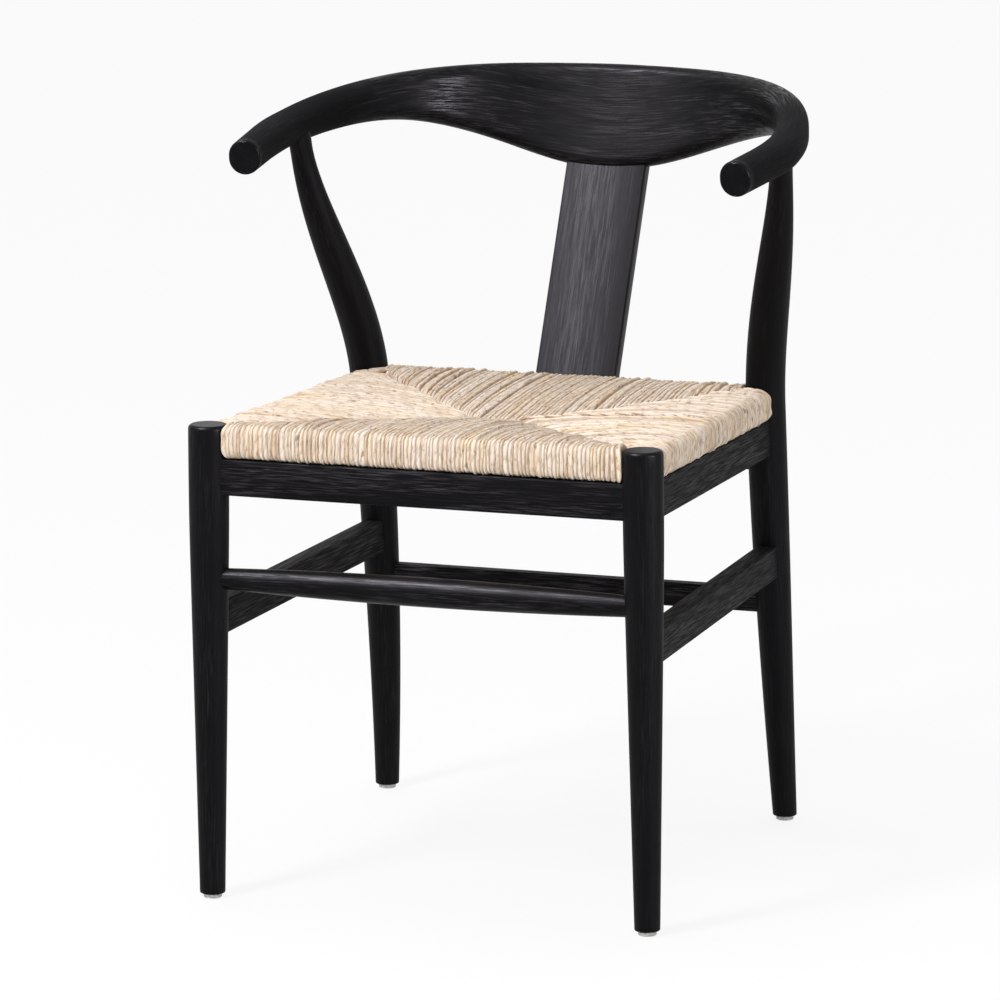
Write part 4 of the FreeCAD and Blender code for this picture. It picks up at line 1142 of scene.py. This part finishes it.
def corner_cord(name, axis, inward, radius, z, number):
    """A quarter turn round the inside of a leg; its ends dip into the two rolls by the cube of 2 t - 1."""
    share = np.linspace(0, 1, CORNER_RINGS)
    angle = share * math.pi / 2
    reach = radius + CORNER_CORD_RADIUS * (1 + CORNER_SPACING * number)
    way = np.column_stack([inward[0] * np.cos(angle), inward[1] * np.sin(angle), np.zeros(CORNER_RINGS)])
    centres = np.array([axis[0], axis[1], z]) + way * reach
    centres[:, 2] -= CORNER_DIP * np.abs(2 * share - 1) ** 3
    directions = unit(np.gradient(centres, axis=0))
    points, flat = carried(centres, directions, np.broadcast_to(UP, centres.shape), CORNER_SIDES, 0.0,
                           CORNER_CORD_RADIUS)
    along = np.broadcast_to((share * reach * math.pi / 2)[:, None], flat.shape[:2])
    strand = np.stack([flat[..., 1], along + number, flat[..., 0] / CORNER_CORD_RADIUS], axis=-1)
    tone = np.full(flat.shape[:2], random.uniform(*CORNER_TONES))
    tight = np.full(flat.shape[:2], CORNER_TIGHTNESS)
    piece = sleeve(f"{name}_{number}", points, {"strand": strand, "tone": tone, "tight": tight})
    dress(piece, "rush_cord", "woven_seat")


for name, side in SIDES.items():
    for number in range(CORNER_CORDS["front"]):
        corner_cord(f"front_{name}_corner_cord", FRONT_CORNERS[name], (-side, 1), FRONT_NECK_RADIUS,
                    front_crest - FRONT_CORNER_SINK, number)
    for number in range(CORNER_CORDS["rear"]):
        corner_cord(f"rear_{name}_corner_cord", REAR_CORNERS[name], (-side, -1), REAR_KNEE_RADIUS,
                    rear_crest + REAR_CORNER_RISE, number)

# Pieces kept from the frame

KEPT = {
    "bare_wood": ["front_seat_rail", "rear_seat_rail", "left_seat_rail", "right_seat_rail", "arm_dowels"],
    "glide_plastic": ["front_left_glide", "front_right_glide", "rear_left_glide", "rear_right_glide"],
    "nail_steel": ["glide_nails"],
}
for slot, nodes in KEPT.items():
    for node in nodes:
        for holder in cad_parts[node].material_slots:
            holder.material = FINISHES[slot]

# Stage: a pale floor, a pale world and soft lamps

FLOOR_HALF = 40.0
FLOOR_WHITENESS = 0.86
FLOOR_GREY = (0.9, 0.9, 0.9, 1.0)
WHITE = (1.0, 1.0, 1.0, 1.0)
WORLD_STRENGTH = 0.36
CHAIR_MIDDLE = (0.0, 0.0, 0.45)


def seen(tree):
    """1 for what is seen directly, mirrored or through glass, and 0 for light on its way to a piece."""
    path = add(tree, "LightPath").outputs
    shown = math_node(tree, "MAXIMUM", path["Is Camera Ray"], path["Is Glossy Ray"])
    return math_node(tree, "MAXIMUM", shown, path["Is Transmission Ray"])


def floor():
    """A wide white floor: seen directly or mirrored it is mostly plain white, and it keeps the shadow."""
    finish, tree = new_finish("floor_finish")
    share = math_node(tree, "MULTIPLY", seen(tree), FLOOR_WHITENESS)
    matt = add(tree, "BsdfDiffuse", {"Color": FLOOR_GREY})
    plain = add(tree, "Emission", {"Color": WHITE, "Strength": 1.0})
    shader = add(tree, "MixShader", {0: share, 1: matt.outputs[0], 2: plain.outputs[0]})
    add(tree, "OutputMaterial", {"Surface": shader.outputs[0]})
    mesh = bpy.data.meshes.new("floor")
    corners = np.array([(-1, -1, 0), (1, -1, 0), (1, 1, 0), (-1, 1, 0)]) * FLOOR_HALF
    mesh.from_pydata(corners, [], [(0, 1, 2, 3)])
    mesh.materials.append(finish)
    piece = new_object("floor", mesh)


def pale_world():
    """An even pale surround; seen directly or mirrored it is white."""
    world = bpy.data.worlds.new("surround")
    bpy.context.scene.world = world
    world.use_nodes = True
    tree = world.node_tree
    tree.nodes.clear()
    level = math_node(tree, "MAXIMUM", seen(tree), WORLD_STRENGTH)
    shade = add(tree, "Background", {"Color": WHITE, "Strength": level})
    add(tree, "OutputWorld", {"Surface": shade.outputs[0]})


def softbox(name, place, width, height, power, aim=CHAIR_MIDDLE, lights=True, shines=True):
    """A rectangular area lamp at a place, turned to face a point.

    One that lights but doesn't shine fills in evenly, and one that only shines is seen in the lacquer.
    """
    data = bpy.data.lights.new(name, "AREA")
    data.shape = "RECTANGLE"
    data.size = width
    data.size_y = height
    data.energy = power
    lamp = new_object(name, data)
    away = unit(np.array(place) - np.array(aim))
    across = unit(np.cross(UP, away))
    stand(lamp, across, np.cross(away, across), away, place)
    lamp.visible_diffuse = lights
    lamp.visible_glossy = shines


def high_light(name, lean, softness, strength):
    """A very soft lamp far above, so that the floor is evenly lit; it leans by degrees about X and Y."""
    data = bpy.data.lights.new(name, "SUN")
    data.angle = math.radians(softness)
    data.energy = strength
    lamp = new_object(name, data)
    lamp.rotation_euler = [math.radians(angle) for angle in (*lean, 0.0)]
    lamp.visible_glossy = False


floor()
pale_world()
high_light("high_light", lean=(-14.0, -12.0), softness=70.0, strength=1.2)
softbox("front_left_softbox", (-1.15, -2.2, 2.65), width=0.6, height=0.6, power=56.0)
softbox("front_fill", (0.9, -3.0, 1.4), width=1.2, height=1.2, power=20.0, shines=False)
softbox("high_card", (-1.35, -1.3, 3.45), width=1.0, height=1.5, power=340.0, lights=False)
softbox("right_card", (2.52, -1.05, 1.1), width=0.4, height=0.9, power=96.0,
        aim=(-0.1, 0.2, 0.68), lights=False)
softbox("right_softbox", (2.6, -0.4, 1.8), width=0.8, height=1.6, power=5.0)
